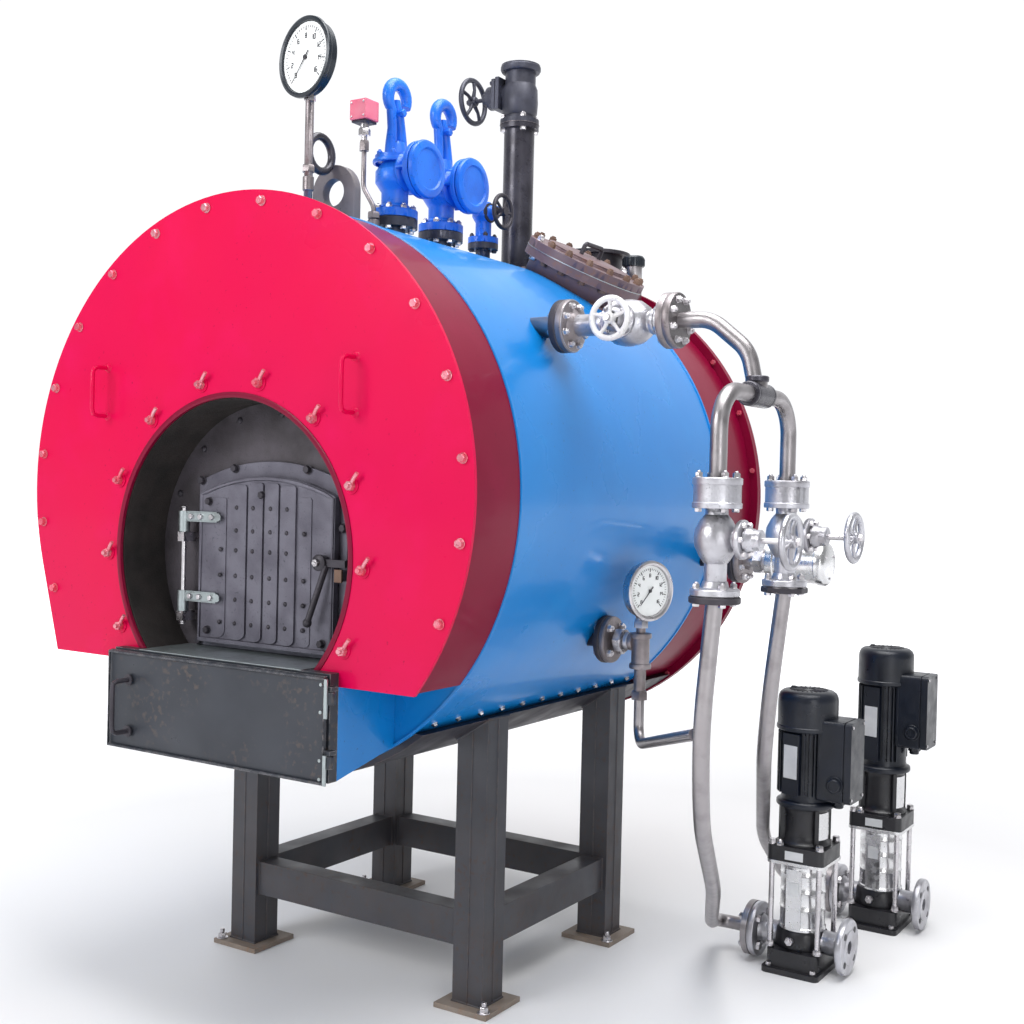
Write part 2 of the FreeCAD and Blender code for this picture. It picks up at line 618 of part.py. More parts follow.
def make_side_fittings():
    stub = rod(20, 70, (500, "nozzle_y", "nozzle_z"), "x")
    flange = rod(54, 14, (566, "nozzle_y", "nozzle_z"), "x")
    node("lower_nozzle", on_shell(fuse(stub, flange)))
    mate = rod(54, 12, (581, "nozzle_y", "nozzle_z"), "x")
    cock = rod(16, "tee_x - 590", (590, "nozzle_y", "nozzle_z"), "x")
    nut = rod(26, 22, (602, "nozzle_y", "nozzle_z"), "x")
    tee = rod(21, 84, ("tee_x", "nozzle_y", 800))
    nipple = rod(14, 76, ("tee_x", "nozzle_y", 730))
    stem = rod(11, 38, ("tee_x", "nozzle_y", 880))
    node("gauge_tee", fuse(mate, cock, nut, tee, nipple, stem))
    facing = V(math.sin(math.radians(70)), -math.cos(math.radians(70)), 0)
    case = rod(66, 30, ("tee_x - 1", "nozzle_y", 984), facing)
    node("side_gauge", case)
    pipe_out = rod(22, 121, (590, "level_y", "level_z"), "x")
    flange = rod(58, 16, (701, "level_y", "level_z"), "x")
    node("level_nozzle", on_shell(fuse(pipe_out, flange)))
    mate = rod(58, 16, (718, "level_y", "level_z"), "x")
    neck = rod(30, 80, (726, "level_y", "level_z"), "x")
    head = rod(52, 154, (801, "level_y", "level_z"), "x")
    node("level_switch", fuse(mate, neck, head))


# ---------------------------------------------------------------- feed pumps
def make_pumps():
    kinds = {"pump_bases": [], "pump_stages": [], "pump_heads": [], "pump_motors": []}
    for which in ("one", "two"):
        x, y = f"pump_{which}_x", f"pump_{which}_y"
        base = block((f"{x} - pump_base_x / 2", f"{y} - pump_base_y / 2", 0),
                     (f"{x} + pump_base_x / 2", f"{y} + pump_base_y / 2", 60))
        chamber = rod(62, 44, (x, y, 60))
        ports = rod(24, "2 * port_reach", (f"{x} - port_reach", y, "port_z"), "x")
        sides = []
        for side in (-1, 1):
            start = f"{x} - port_reach" if side < 0 else f"{x} + port_reach - 16"
            sides.append(rod("port_flange_rad", 16, (start, y, "port_z"), "x"))
        right = (f"{x} + port_reach - 16", y, "port_z")
        holes = bolt_circle(4, D["port_bolt_rad"], 9, 16, right, "x", start=45)
        inlet = rod(16, 60, (f"{x} + port_reach - 60", y, "port_z"), "x")
        kinds["pump_bases"].append(cut(fuse(base, chamber, ports, *sides), holes, inlet))
        sleeve = rod(58, 176, (x, y, 104))
        rods = [rod(7, 220, (f"{x} + {dx}", f"{y} + {dy}", 60))
                for dx in (-62, 62) for dy in (-62, 62)]
        kinds["pump_stages"].append(group(sleeve, *rods))
        head = block((f"{x} - 74", f"{y} - 74", 280), (f"{x} + 74", f"{y} + 74", 322))
        stool = rod(62, f"stool_{which}", (x, y, 322))
        kinds["pump_heads"].append(fuse(head, stool))
        foot = f"322 + stool_{which}"
        cowl_low = f"{foot} + motor_{which}"
        flange = rod(72, 14, (x, y, foot))
        frame = rod(68, f"motor_{which}", (x, y, foot))
        cowl = rod(76, 84, (x, y, cowl_low))
        dome = cone(76, 60, 17, (x, y, f"{cowl_low} + 84"))
        box = block((f"{x} + 50", f"{y} - 52", f"{cowl_low} - 170"),
                    (f"{x} + 132", f"{y} + 52", f"{cowl_low} + 34"))
        kinds["pump_motors"].append(fuse(flange, frame, cowl, dome, box))
    for label, parts in kinds.items():
        node(label, group(*parts))


def check_and_write():
    doc.recompute()
    bad = [o.Name for o in doc.Objects if "Invalid" in o.State or "Error" in o.State]
    if bad:
        raise SystemExit(f"failed objects: {bad}")
    if len({o.Label for o in nodes}) != len(nodes):
        raise SystemExit("two sub-parts share a label")
    os.makedirs("parts", exist_ok=True)
    whole = FreeCAD.BoundBox()
    for o in nodes:
        if o.Shape.isNull() or not o.Shape.isValid():
            raise SystemExit(f"{o.Label}: the shape is null or not valid")
        whole.add(o.Shape.BoundBox)
        o.Shape.exportStep(f"parts/{o.Label}.step")
    print(len(nodes), "nodes", whole)


make_shell()
make_front()
make_furnace()
make_fire_door()
make_ash_door()
make_rear()
make_stand()
make_top_instruments()
make_safety_valves()
make_steam_outlet()
make_manhole()
make_flue()
make_feed_line()
make_side_fittings()
make_pumps()
check_and_write()
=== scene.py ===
"""Looks of the boiler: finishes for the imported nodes, and detailed pieces that stand on or for them."""
import math
import random

import bmesh
import bpy
from mathutils import Matrix, Vector


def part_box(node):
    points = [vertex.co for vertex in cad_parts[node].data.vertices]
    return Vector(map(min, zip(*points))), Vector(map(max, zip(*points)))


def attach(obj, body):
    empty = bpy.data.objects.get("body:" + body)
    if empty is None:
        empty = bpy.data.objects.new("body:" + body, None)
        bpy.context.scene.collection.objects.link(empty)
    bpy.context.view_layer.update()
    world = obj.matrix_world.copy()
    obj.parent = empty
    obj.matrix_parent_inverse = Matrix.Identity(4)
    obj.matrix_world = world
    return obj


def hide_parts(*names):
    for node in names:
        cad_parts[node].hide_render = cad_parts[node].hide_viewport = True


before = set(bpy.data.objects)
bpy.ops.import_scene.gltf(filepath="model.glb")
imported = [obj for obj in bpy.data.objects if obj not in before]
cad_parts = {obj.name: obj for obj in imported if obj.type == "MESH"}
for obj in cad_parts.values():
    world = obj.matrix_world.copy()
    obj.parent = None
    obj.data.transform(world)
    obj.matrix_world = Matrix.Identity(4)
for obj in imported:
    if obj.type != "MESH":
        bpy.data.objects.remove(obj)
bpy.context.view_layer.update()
random.seed(7)

MM = 0.001
SHARP_ANGLE = 38.0  # edges sharper than this are not smoothed
BEVEL_ANGLE = 40.0  # edges sharper than this get a bevel
RIGHT, BACK, UP = Vector((1, 0, 0)), Vector((0, 1, 0)), Vector((0, 0, 1))
LEFT, FRONT, DOWN = -RIGHT, -BACK, -UP

shell_low, shell_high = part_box("boiler_shell")
AXIS_X = (shell_low.x + shell_high.x) / 2
AXIS_Z = round((shell_low.z + shell_high.z) / 2 / MM)
SHELL_R = round((shell_high.z - shell_low.z) / 2 / MM)
FACE_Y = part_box("front_cover")[0].y


def at(x, y, z):
    """A place in the frame, from millimetres right of the axis, behind the cover and over the floor."""
    return Vector((AXIS_X + x * MM, FACE_Y + y * MM, z * MM))


def ends(node):
    """A node's box in the millimetres that at() takes."""
    low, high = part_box(node)
    origin = Vector((AXIS_X, FACE_Y, 0))
    return (low - origin) / MM, (high - origin) / MM


# ------------------------------------------------------------------------------- finishes
class Finish:
    """Builds one procedural material, layer by layer."""

    def __init__(self, name, base, rough=0.4, metal=0.0, coat=0.0, coat_rough=0.05):
        self.mat = bpy.data.materials.new(name)
        self.mat.use_nodes = True
        self.tree = self.mat.node_tree
        self.shader = self.tree.nodes["Principled BSDF"]
        self.shader.inputs["Metallic"].default_value = metal
        self.shader.inputs["Roughness"].default_value = rough
        self.shader.inputs["Coat Weight"].default_value = coat
        self.shader.inputs["Coat Roughness"].default_value = coat_rough
        self.place = self.node("ShaderNodeTexCoord").outputs["Object"]
        self.colour = base
        self.rough = rough
        self.height = None

    def node(self, kind, **values):
        made = self.tree.nodes.new(kind)
        for key, value in values.items():
            setattr(made, key, value)
        return made

    def link(self, a, b):
        self.tree.links.new(a, b)

    def noise(self, scale, detail=4.0, stretch=(1, 1, 1)):
        mapping = self.node("ShaderNodeMapping")
        mapping.inputs["Scale"].default_value = stretch
        self.link(self.place, mapping.inputs["Vector"])
        noise = self.node("ShaderNodeTexNoise")
        noise.inputs["Scale"].default_value = scale
        noise.inputs["Detail"].default_value = detail
        self.link(mapping.outputs["Vector"], noise.inputs["Vector"])
        return noise.outputs["Fac"]

    def window(self, value, low, high, top=1.0):
        """Maps low..high of a value to 0..top."""
        ramp = self.node("ShaderNodeMapRange")
        ramp.inputs["From Min"].default_value = low
        ramp.inputs["From Max"].default_value = high
        ramp.inputs["To Max"].default_value = top
        self.link(value, ramp.inputs["Value"])
        return ramp.outputs["Result"]

    def times(self, a, b):
        both = self.node("ShaderNodeMath", operation="MULTIPLY")
        self.link(a, both.inputs[0])
        self.link(b, both.inputs[1])
        return both.outputs[0]

    def over(self, colour, mask):
        """Lays a colour over what is there, where the mask is high."""
        mix = self.node("ShaderNodeMix", data_type="RGBA")
        if isinstance(self.colour, tuple):
            mix.inputs["A"].default_value = (*self.colour, 1)
        else:
            self.link(self.colour, mix.inputs["A"])
        mix.inputs["B"].default_value = (*colour, 1)
        self.link(mask, mix.inputs["Factor"])
        self.colour = mix.outputs["Result"]
        return self

    def mottle(self, colour, scale=5.0, low=0.35, high=0.7, top=1.0, stretch=(1, 1, 1)):
        return self.over(colour, self.window(self.noise(scale, 6.0, stretch), low, high, top))

    def specks(self, colour, scale=90.0, low=0.64, high=0.70, where=7.0, top=1.0):
        """Small marks, in patches."""
        patch = self.window(self.noise(where, 3.0), 0.42, 0.62)
        fine = self.window(self.noise(scale, 8.0), low, high, top)
        return self.over(colour, self.times(patch, fine))

    def edges(self, colour, width=1.5, top=0.8):
        """Worn paint along the sharp edges."""
        bevel = self.node("ShaderNodeBevel", samples=4)
        bevel.inputs["Radius"].default_value = width * MM
        flat = self.node("ShaderNodeNewGeometry")
        dot = self.node("ShaderNodeVectorMath", operation="DOT_PRODUCT")
        self.link(bevel.outputs["Normal"], dot.inputs[0])
        self.link(flat.outputs["Normal"], dot.inputs[1])
        worn = self.window(dot.outputs["Value"], 0.985, 0.90, top)
        ragged = self.window(self.noise(60.0, 6.0), 0.40, 0.58)
        return self.over(colour, self.times(worn, ragged))

    def low_dirt(self, colour, height=0.5, top=0.6):
        """Dust and splashes that thin out with height over the floor."""
        split = self.node("ShaderNodeSeparateXYZ")
        self.link(self.place, split.inputs["Vector"])
        fade = self.window(split.outputs["Z"], height, 0.0, top)
        ragged = self.window(self.noise(11.0, 8.0), 0.32, 0.62)
        return self.over(colour, self.times(fade, ragged))

    def uneven_gloss(self, low, high, scale=8.0):
        value = self.window(self.noise(scale, 5.0), 0.25, 0.75)
        ramp = self.node("ShaderNodeMapRange")
        ramp.inputs["To Min"].default_value = low
        ramp.inputs["To Max"].default_value = high
        self.link(value, ramp.inputs["Value"])
        self.rough = ramp.outputs["Result"]
        return self

    def bump(self, scale, depth, detail=5.0, stretch=(1, 1, 1)):
        node = self.node("ShaderNodeBump")
        node.inputs["Strength"].default_value = 1.0
        node.inputs["Distance"].default_value = depth * MM
        self.link(self.noise(scale, detail, stretch), node.inputs["Height"])
        if self.height is not None:
            self.link(self.height, node.inputs["Normal"])
        self.height = node.outputs["Normal"]
        return self

    def done(self):
        if isinstance(self.colour, tuple):
            self.shader.inputs["Base Color"].default_value = (*self.colour, 1)
        else:
            self.link(self.colour, self.shader.inputs["Base Color"])
        if not isinstance(self.rough, float):
            self.link(self.rough, self.shader.inputs["Roughness"])
        if self.height is not None:
            self.link(self.height, self.shader.inputs["Normal"])
        return self.mat


def enamel(name, base, deep, fade, rough=0.26, coat=0.25, gloss=0.35):
    """Brushed gloss enamel over rolled plate."""
    made = Finish(name, base, rough, coat=coat, coat_rough=0.08)
    made.shader.inputs["Specular IOR Level"].default_value = gloss
    made.mottle(deep, 1.6, 0.35, 0.70, 0.55).mottle(fade, 9.0, 0.55, 0.80, 0.22)
    made.specks(tuple(0.25 * c for c in base), 120.0, 0.66, 0.72, 4.0, 0.55)
    made.uneven_gloss(rough - 0.06, rough + 0.14, 3.0)
    return made.bump(2.2, 3.0, 2.0).bump(420.0, 0.05, 2.0).done()


def cast(name, base, dark, rough=0.5, metal=0.6, grain=0.35):
    """A painted or bare casting with a sandy skin."""
    made = Finish(name, base, rough, metal)
    made.mottle(dark, 14.0, 0.40, 0.68, 0.8).specks(tuple(0.3 * c for c in base), 150.0, 0.6, 0.7, 20.0, 0.7)
    made.uneven_gloss(rough - 0.12, rough + 0.12, 30.0)
    return made.bump(260.0, grain, 4.0).done()


def bright(name, base, rough, stretch=(1, 1, 1), dirt=(0.10, 0.09, 0.09)):
    """Bare metal with a drawn or turned grain."""
    made = Finish(name, base, rough, 1.0)
    made.mottle(dirt, 18.0, 0.50, 0.78, 0.45, stretch)
    made.uneven_gloss(rough - 0.08, rough + 0.12, 60.0)
    return made.bump(300.0, 0.05, 3.0, stretch).done()


def primer(name, base, rust, rough=0.55, dust=(0.30, 0.27, 0.27), edge=(0.20, 0.13, 0.11)):
    """Thin dark primer on rolled sections: rusty edges, dust low down."""
    made = Finish(name, base, rough, 0.15)
    made.mottle(tuple(1.45 * c for c in base), 9.0, 0.35, 0.75, 0.5)
    made.specks(rust, 70.0, 0.55, 0.68, 6.0, 0.8).edges(edge, 3.0, 0.8)
    made.low_dirt(dust, 0.6, 0.5).uneven_gloss(rough - 0.15, rough + 0.15, 12.0)
    return made.bump(180.0, 0.12, 5.0).done()


RED = enamel("red_enamel", (0.62, 0.001, 0.055), (0.54, 0.001, 0.075), (0.72, 0.003, 0.13), 0.3, 0.08, 0.12)
# A darker copy of the cover's red enamel: painted shade for the wrapper side that faces away from the light. It is also
# used on the rear smokebox, the rear cover, the mouth lip and the rear cover ring.
SHADED_RED = enamel("shaded_red_enamel", (0.20, 0.001, 0.026), (0.13, 0.001, 0.020), (0.28, 0.003, 0.05), 0.34, 0.10, 0.14)
BLUE = enamel("blue_enamel", (0.002, 0.205, 0.58), (0.002, 0.145, 0.48), (0.004, 0.28, 0.68), 0.26, 0.22, 0.30)
VALVE_BLUE = cast("blue_casting", (0.012, 0.17, 0.74), (0.006, 0.09, 0.52), 0.34, 0.0, 0.5)
STEEL_PRIMER = primer("stand_primer", (0.050, 0.052, 0.062), (0.075, 0.042, 0.032), 0.5,
                      (0.085, 0.066, 0.06), (0.12, 0.09, 0.08))
BASE_RUST = primer("base_plate_rust", (0.20, 0.16, 0.13), (0.26, 0.13, 0.07), 0.7,
                   (0.36, 0.31, 0.27), (0.34, 0.22, 0.15))
# Near-black finish for the belly strip: painted shade for the shadow under the shell, with primer rust and dust laid
# over it.
BELLY_SHADE = primer("belly_shade_black", (0.022, 0.022, 0.030), (0.06, 0.03, 0.03), 0.5)
ASH_STEEL = primer("ash_door_steel", (0.026, 0.030, 0.040), (0.09, 0.07, 0.06), 0.42,
                   (0.20, 0.20, 0.22), (0.34, 0.33, 0.34))
BROWN_PRIMER = primer("brown_primer", (0.135, 0.085, 0.095), (0.20, 0.09, 0.06), 0.5,
                      (0.30, 0.27, 0.27), (0.30, 0.24, 0.25))
SOOT = cast("soot", (0.022, 0.017, 0.016), (0.006, 0.005, 0.005), 0.85, 0.0, 1.2)
DOOR_IRON = cast("door_iron", (0.155, 0.150, 0.185), (0.085, 0.080, 0.105), 0.46, 0.55, 0.5)
DARK_IRON = cast("dark_iron", (0.055, 0.050, 0.062), (0.022, 0.020, 0.026), 0.5, 0.4, 0.6)
PIPE_BLACK = cast("pipe_black", (0.060, 0.057, 0.072), (0.018, 0.016, 0.022), 0.30, 0.4, 0.12)
VALVE_BLACK = cast("valve_black", (0.060, 0.062, 0.085), (0.025, 0.025, 0.034), 0.42, 0.4, 0.7)
CAST_SILVER = cast("silver_casting", (0.56, 0.56, 0.60), (0.30, 0.29, 0.31), 0.36, 0.85, 0.6)
PIPE_GREY = bright("grey_pipe", (0.36, 0.34, 0.35), 0.36)
FLANGE_GREY = cast("grey_flange", (0.30, 0.27, 0.28), (0.14, 0.12, 0.12), 0.42, 0.8, 0.25)
ZINC = bright("zinc", (0.62, 0.60, 0.62), 0.28)
RED_BOLT = cast("painted_bolt", (0.72, 0.10, 0.16), (0.62, 0.44, 0.48), 0.25, 0.5, 0.2)
STRAP = bright("light_strap", (0.40, 0.45, 0.46), 0.42)
LUG_GREY = cast("lug_primer", (0.15, 0.135, 0.145), (0.10, 0.088, 0.095), 0.6, 0.1, 0.4)
MOUTH_IRON = cast("mouth_iron", (0.075, 0.066, 0.078), (0.035, 0.030, 0.034), 0.6, 0.3, 0.7)
RUST = cast("rusty_steel", (0.19, 0.115, 0.085), (0.10, 0.055, 0.04), 0.7, 0.2, 0.5)
STAINLESS = bright("stainless", (0.70, 0.70, 0.71), 0.22, (1, 1, 0.05), (0.42, 0.42, 0.43))
PUMP_BLACK = cast("pump_black", (0.010, 0.010, 0.013), (0.020, 0.020, 0.024), 0.34, 0.0, 0.4)
MOTOR_NAVY = cast("motor_navy", (0.006, 0.009, 0.018), (0.004, 0.006, 0.011), 0.36, 0.1, 0.3)
WHITE = cast("white_enamel", (0.78, 0.78, 0.78), (0.62, 0.61, 0.62), 0.3, 0.0, 0.3)
DIAL = Finish("dial_white", (0.86, 0.88, 0.88), 0.5).mottle((0.80, 0.83, 0.83), 20.0).bump(300.0, 0.02).done()
INK = Finish("dial_ink", (0.02, 0.02, 0.025), 0.5).mottle((0.05, 0.05, 0.06), 200.0).done()
CASE_DARK = cast("gauge_case", (0.012, 0.018, 0.026), (0.03, 0.035, 0.045), 0.3, 0.2, 0.15)
PINK = Finish("switch_case", (0.72, 0.13, 0.22), 0.3, coat=0.3).mottle((0.80, 0.32, 0.38), 12.0, 0.5, 0.8, 0.6)
PINK = PINK.bump(160.0, 0.08).done()
PLATE = Finish("blank_plate", (0.70, 0.71, 0.72), 0.38, 0.3).mottle((0.60, 0.61, 0.63), 30.0).bump(400.0, 0.03).done()
GLASS = Finish("gauge_glass", (0.95, 0.97, 0.97), 0.03)
GLASS.shader.inputs["Transmission Weight"].default_value = 1.0
GLASS = GLASS.bump(3.0, 0.2).done()


# ------------------------------------------------------------------------------- shapes
def compass(across, up, angle):
    """The way that lies an angle in degrees from across towards up."""
    return across * math.cos(math.radians(angle)) + up * math.sin(math.radians(angle))


def side_of(axis):
    """The direction square to an axis from which the angles round it are counted."""
    return RIGHT.copy() if abs(axis.y) >= 0.99 else axis.orthogonal().normalized()


class Shape:
    """One mesh built from turned, extruded and swept forms; places come from at(), sizes are millimetres."""

    def __init__(self, finish):
        self.bm = bmesh.new()
        self.finishes = []
        self.use(finish)

    def use(self, finish):
        if finish not in self.finishes:
            self.finishes.append(finish)
        self.slot = self.finishes.index(finish)
        return self

    def face(self, *corners):
        made = self.bm.faces.new(corners)
        made.material_index = self.slot

    def turn(self, profile, centre, axis, steps=40, start=0.0, sweep=360.0):
        """Revolves (radius, along) points round an axis; a profile that leaves the axis is closed on itself."""
        axis = axis.normalized()
        side = side_of(axis)
        other = axis.cross(side)
        full = sweep >= 360.0
        count = steps if full else steps + 1
        rings = []
        for radius, along in profile:
            hub = centre + axis * (along * MM)
            if radius < 1e-6:
                rings.append([self.bm.verts.new(hub)] * count)
                continue
            ring = []
            for i in range(count):
                angle = math.radians(start + sweep * i / steps)
                out = side * math.cos(angle) + other * math.sin(angle)
                ring.append(self.bm.verts.new(hub + out * (radius * MM)))
            rings.append(ring)
        open_ends = profile[0][0] < 1e-6 and profile[-1][0] < 1e-6
        pairs = list(zip(rings, rings[1:]))
        if not open_ends:
            pairs.append((rings[-1], rings[0]))
        for low, high in pairs:
            for i in range(steps):
                j = (i + 1) % count
                quad = []
                for vert in (low[i], low[j], high[j], high[i]):
                    if vert not in quad:
                        quad.append(vert)
                if len(quad) > 2:
                    self.face(*quad)
        if not full:
            self.face(*[ring[0] for ring in rings][::-1])
            self.face(*[ring[-1] for ring in rings])
        return self

    def rod(self, radius, length, base, axis, steps=24, chamfer=1.0):
        edge = min(chamfer, radius * 0.4, length * 0.4)
        return self.turn([(0, 0), (radius - edge, 0), (radius, edge), (radius, length - edge),
                          (radius - edge, length), (0, length)], base, axis, steps)

    def extrude(self, outline, origin, across, up, depth):
        """Extrudes an outline of (across, up) points along across x up."""
        way = across.cross(up).normalized() * (depth * MM)
        low = [self.bm.verts.new(origin + across * (a * MM) + up * (b * MM)) for a, b in outline]
        high = [self.bm.verts.new(vert.co + way) for vert in low]
        self.face(*low[::-1])
        self.face(*high)
        for i in range(len(low)):
            j = (i + 1) % len(low)
            self.face(low[i], low[j], high[j], high[i])
        return self

    def bar(self, low, high):
        """A box between two corners in at()'s millimetres."""
        (x0, y0, z0), (x1, y1, z1) = low, high
        outline = [(0, 0), (x1 - x0, 0), (x1 - x0, z1 - z0), (0, z1 - z0)]
        return self.extrude(outline, at(x0, y1, z0), RIGHT, UP, y1 - y0)

    def box(self, centre, size, turn=None):
        """A box of that size about a centre, turned by a rotation matrix."""
        turn = turn or Matrix.Identity(3)
        across, deep, up = (turn @ v for v in (RIGHT, BACK, UP))
        w, d, h = size
        outline = [(-w / 2, -h / 2), (w / 2, -h / 2), (w / 2, h / 2), (-w / 2, h / 2)]
        return self.extrude(outline, centre + deep * (d * MM / 2), across, up, d)

    def sweep(self, points, radius, sides=16, ring=False):
        """A round bar through a list of places; radius may be one value or a value for each point."""
        radii = radius if isinstance(radius, (list, tuple)) else [radius] * len(points)
        count = len(points)
        side = None
        rows = []
        for i, here in enumerate(points):
            before = points[i - 1] if i or ring else here
            after = points[(i + 1) % count] if i < count - 1 or ring else here
            along = (after - before).normalized()
            if side is None:
                side = along.orthogonal().normalized()
            side = (side - along * side.dot(along)).normalized()
            other = along.cross(side)
            row = []
            for k in range(sides):
                angle = 2 * math.pi * k / sides
                out = side * math.cos(angle) + other * math.sin(angle)
                row.append(self.bm.verts.new(here + out * (radii[i] * MM)))
            rows.append(row)
        last = count if ring else count - 1
        for i in range(last):
            low, high = rows[i], rows[(i + 1) % count]
            for k in range(sides):
                j = (k + 1) % sides
                self.face(low[k], low[j], high[j], high[k])
        if not ring:
            self.face(*rows[0][::-1])
            self.face(*rows[-1])
        return self

    def hexagon(self, across, height, base, axis, spin=0.0):
        """A bolt head or nut with its corners turned off."""
        r = across / math.sqrt(3)
        return self.turn([(0, 0), (r, 0), (r, 0.8 * height), (0.86 * r, height), (0, height)],
                         base, axis, 6, spin)

    def stud(self, radius, base, axis, grip, size=None):
        """A bolt through a joint of that grip: head at the base, nut and thread end beyond."""
        across = size or radius * 3.4
        axis = axis.normalized()
        spin = random.uniform(0, 60)
        far = base + axis * (grip * MM)
        self.hexagon(across, 0.62 * across * 0.9, base, -axis, spin)
        self.rod(across * 0.62, 1.5, far, axis, 16, 0.4)
        self.hexagon(across, 0.62 * across, far + axis * (1.5 * MM), axis, spin + 17)
        self.rod(radius, 0.62 * across + 5, far, axis, 10)
        return self

    def made(self, name, body, slot, *replaced, bevel=0.0, segments=2):
        """Finishes the mesh as one piece that rides on a body."""
        bmesh.ops.recalc_face_normals(self.bm, faces=self.bm.faces)
        mesh = bpy.data.meshes.new(name)
        self.bm.to_mesh(mesh)
        self.bm.free()
        for finish in self.finishes:
            mesh.materials.append(finish)
        mesh.shade_smooth()
        mesh.set_sharp_from_angle(angle=math.radians(SHARP_ANGLE))
        piece = bpy.data.objects.new(name, mesh)
        bpy.context.scene.collection.objects.link(piece)
        if bevel:
            add_bevel(piece, bevel, segments)
        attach(piece, body)
        if replaced:
            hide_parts(*replaced)


def add_bevel(piece, width, segments=2):
    bevel = piece.modifiers.new("edges", "BEVEL")
    bevel.width = width * MM
    bevel.segments = segments
    bevel.limit_method = "ANGLE"
    bevel.angle_limit = math.radians(BEVEL_ANGLE)
    bevel.harden_normals = True


def circle(radius, centre=(0, 0), start=0.0, sweep=360.0, steps=48):
    """Points of an arc, as (across, up) pairs; a full circle leaves out its last point."""
    last = steps if sweep >= 360.0 else steps + 1
    angles = [math.radians(start + sweep * i / steps) for i in range(last)]
    return [(centre[0] + radius * math.cos(a), centre[1] + radius * math.sin(a)) for a in angles]


def carry(node, finish, bevel=0.0):
    """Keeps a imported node's own mesh and gives it a finish."""
    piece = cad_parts[node]
    piece.data.materials.clear()
    piece.data.materials.append(finish)
    weld = piece.modifiers.new("weld", "WELD")
    weld.merge_threshold = 0.02 * MM
    if bevel:
        add_bevel(piece, bevel)


# ------------------------------------------------------------------------------- the stage
def make_camera():
    """The viewpoint: low on the right of the boiler's front, level with its door."""
    yaw, pitch, roll = math.radians(32.77), math.radians(-1.12), math.radians(1.36)
    ahead = Vector((-math.sin(yaw) * math.cos(pitch), math.cos(yaw) * math.cos(pitch), math.sin(pitch)))
    right = ahead.cross(UP).normalized()
    above = right.cross(ahead)
    rolled = right * math.cos(roll) + above * math.sin(roll)
    above = above * math.cos(roll) - right * math.sin(roll)
    data = bpy.data.cameras.new("view")
    data.lens = 45.46
    data.sensor_width = 36.0
    data.clip_start, data.clip_end = 0.05, 100.0
    camera = bpy.data.objects.new("view", data)
    camera.matrix_world = Matrix.Translation(at(2037.6, -2026.6, 1218.1)) @ Matrix(
        (rolled, above, -ahead)).transposed().to_4x4()
    bpy.context.scene.collection.objects.link(camera)
    bpy.context.scene.camera = camera


def area_light(name, place, target, size, power, colour=(1, 1, 1)):
    data = bpy.data.lights.new(name, "AREA")
    data.shape = "RECTANGLE"
    data.size, data.size_y = size
    data.energy = power
    data.color = colour
    lamp = bpy.data.objects.new(name, data)
    lamp.location = place
    lamp.rotation_euler = (target - place).to_track_quat("-Z", "Y").to_euler()
    bpy.context.scene.collection.objects.link(lamp)


def make_stage():
    floor_look = Finish("studio_floor", (0.86, 0.86, 0.87), 0.6).mottle((0.84, 0.84, 0.85), 0.8)
    reach = floor_look.node("ShaderNodeVectorMath", operation="LENGTH")
    floor_look.link(floor_look.place, reach.inputs[0])
    glow = floor_look.window(reach.outputs["Value"], 2.0, 7.0)
    floor_look.shader.inputs["Emission Color"].default_value = (0.97, 0.98, 1.0, 1)
    floor_look.link(glow, floor_look.shader.inputs["Emission Strength"])
    floor_finish = floor_look.done()
    mesh = bpy.data.meshes.new("floor")
    size = 30.0
    corners = [(-size, -size, 0), (size, -size, 0), (size, size, 0), (-size, size, 0)]
    mesh.from_pydata(corners, [], [(0, 1, 2, 3)])
    mesh.materials.append(floor_finish)
    floor = bpy.data.objects.new("floor", mesh)
    bpy.context.scene.collection.objects.link(floor)
    world = bpy.data.worlds.new("studio")
    bpy.context.scene.world = world
    world.use_nodes = True
    tree = world.node_tree
    sky = tree.nodes["Background"]
    sky.inputs["Color"].default_value = (0.97, 0.98, 1.0, 1)
    where = tree.nodes.new("ShaderNodeTexCoord")
    split = tree.nodes.new("ShaderNodeVectorMath")
    split.operation = "DOT_PRODUCT"
    split.inputs[1].default_value = (-0.54, 0.84, 0.0)
    tree.links.new(where.outputs["Generated"], split.inputs[0])
    backdrop = tree.nodes.new("ShaderNodeMapRange")
    backdrop.interpolation_type = "SMOOTHSTEP"
    for socket, value in (("From Min", 0.0), ("From Max", 0.8), ("To Min", 0.36), ("To Max", 1.06)):
        backdrop.inputs[socket].default_value = value
    tree.links.new(split.outputs["Value"], backdrop.inputs["Value"])
    tree.links.new(backdrop.outputs["Result"], sky.inputs["Strength"])
    target = at(0, 700, 1100)
    area_light("key", at(-1300, -3900, 3300), target, (2.4, 2.0), 135)
    area_light("overhead", at(900, 500, 4700), at(200, 700, 1500), (2.6, 3.6), 210)
    area_light("right_front", at(4200, -2600, 1700), at(700, 900, 700), (1.2, 2.2), 34)
    bpy.context.scene.view_settings.view_transform = "Standard"


make_camera()
make_stage()
# ------------------------------------------------------------------------------- cover and doors
def polar(centre, radius, angle, y):
    """A place at an angle from +X round a centre (x, z)."""
    turn = math.radians(angle)
    return at(centre[0] + radius * math.cos(turn), y, centre[1] + radius * math.sin(turn))


TUBE_LOW, TUBE_HIGH = ends("furnace_tube")
TUBE_Z = (TUBE_LOW.z + TUBE_HIGH.z) / 2
TUBE_R = (TUBE_HIGH.z - TUBE_LOW.z) / 2


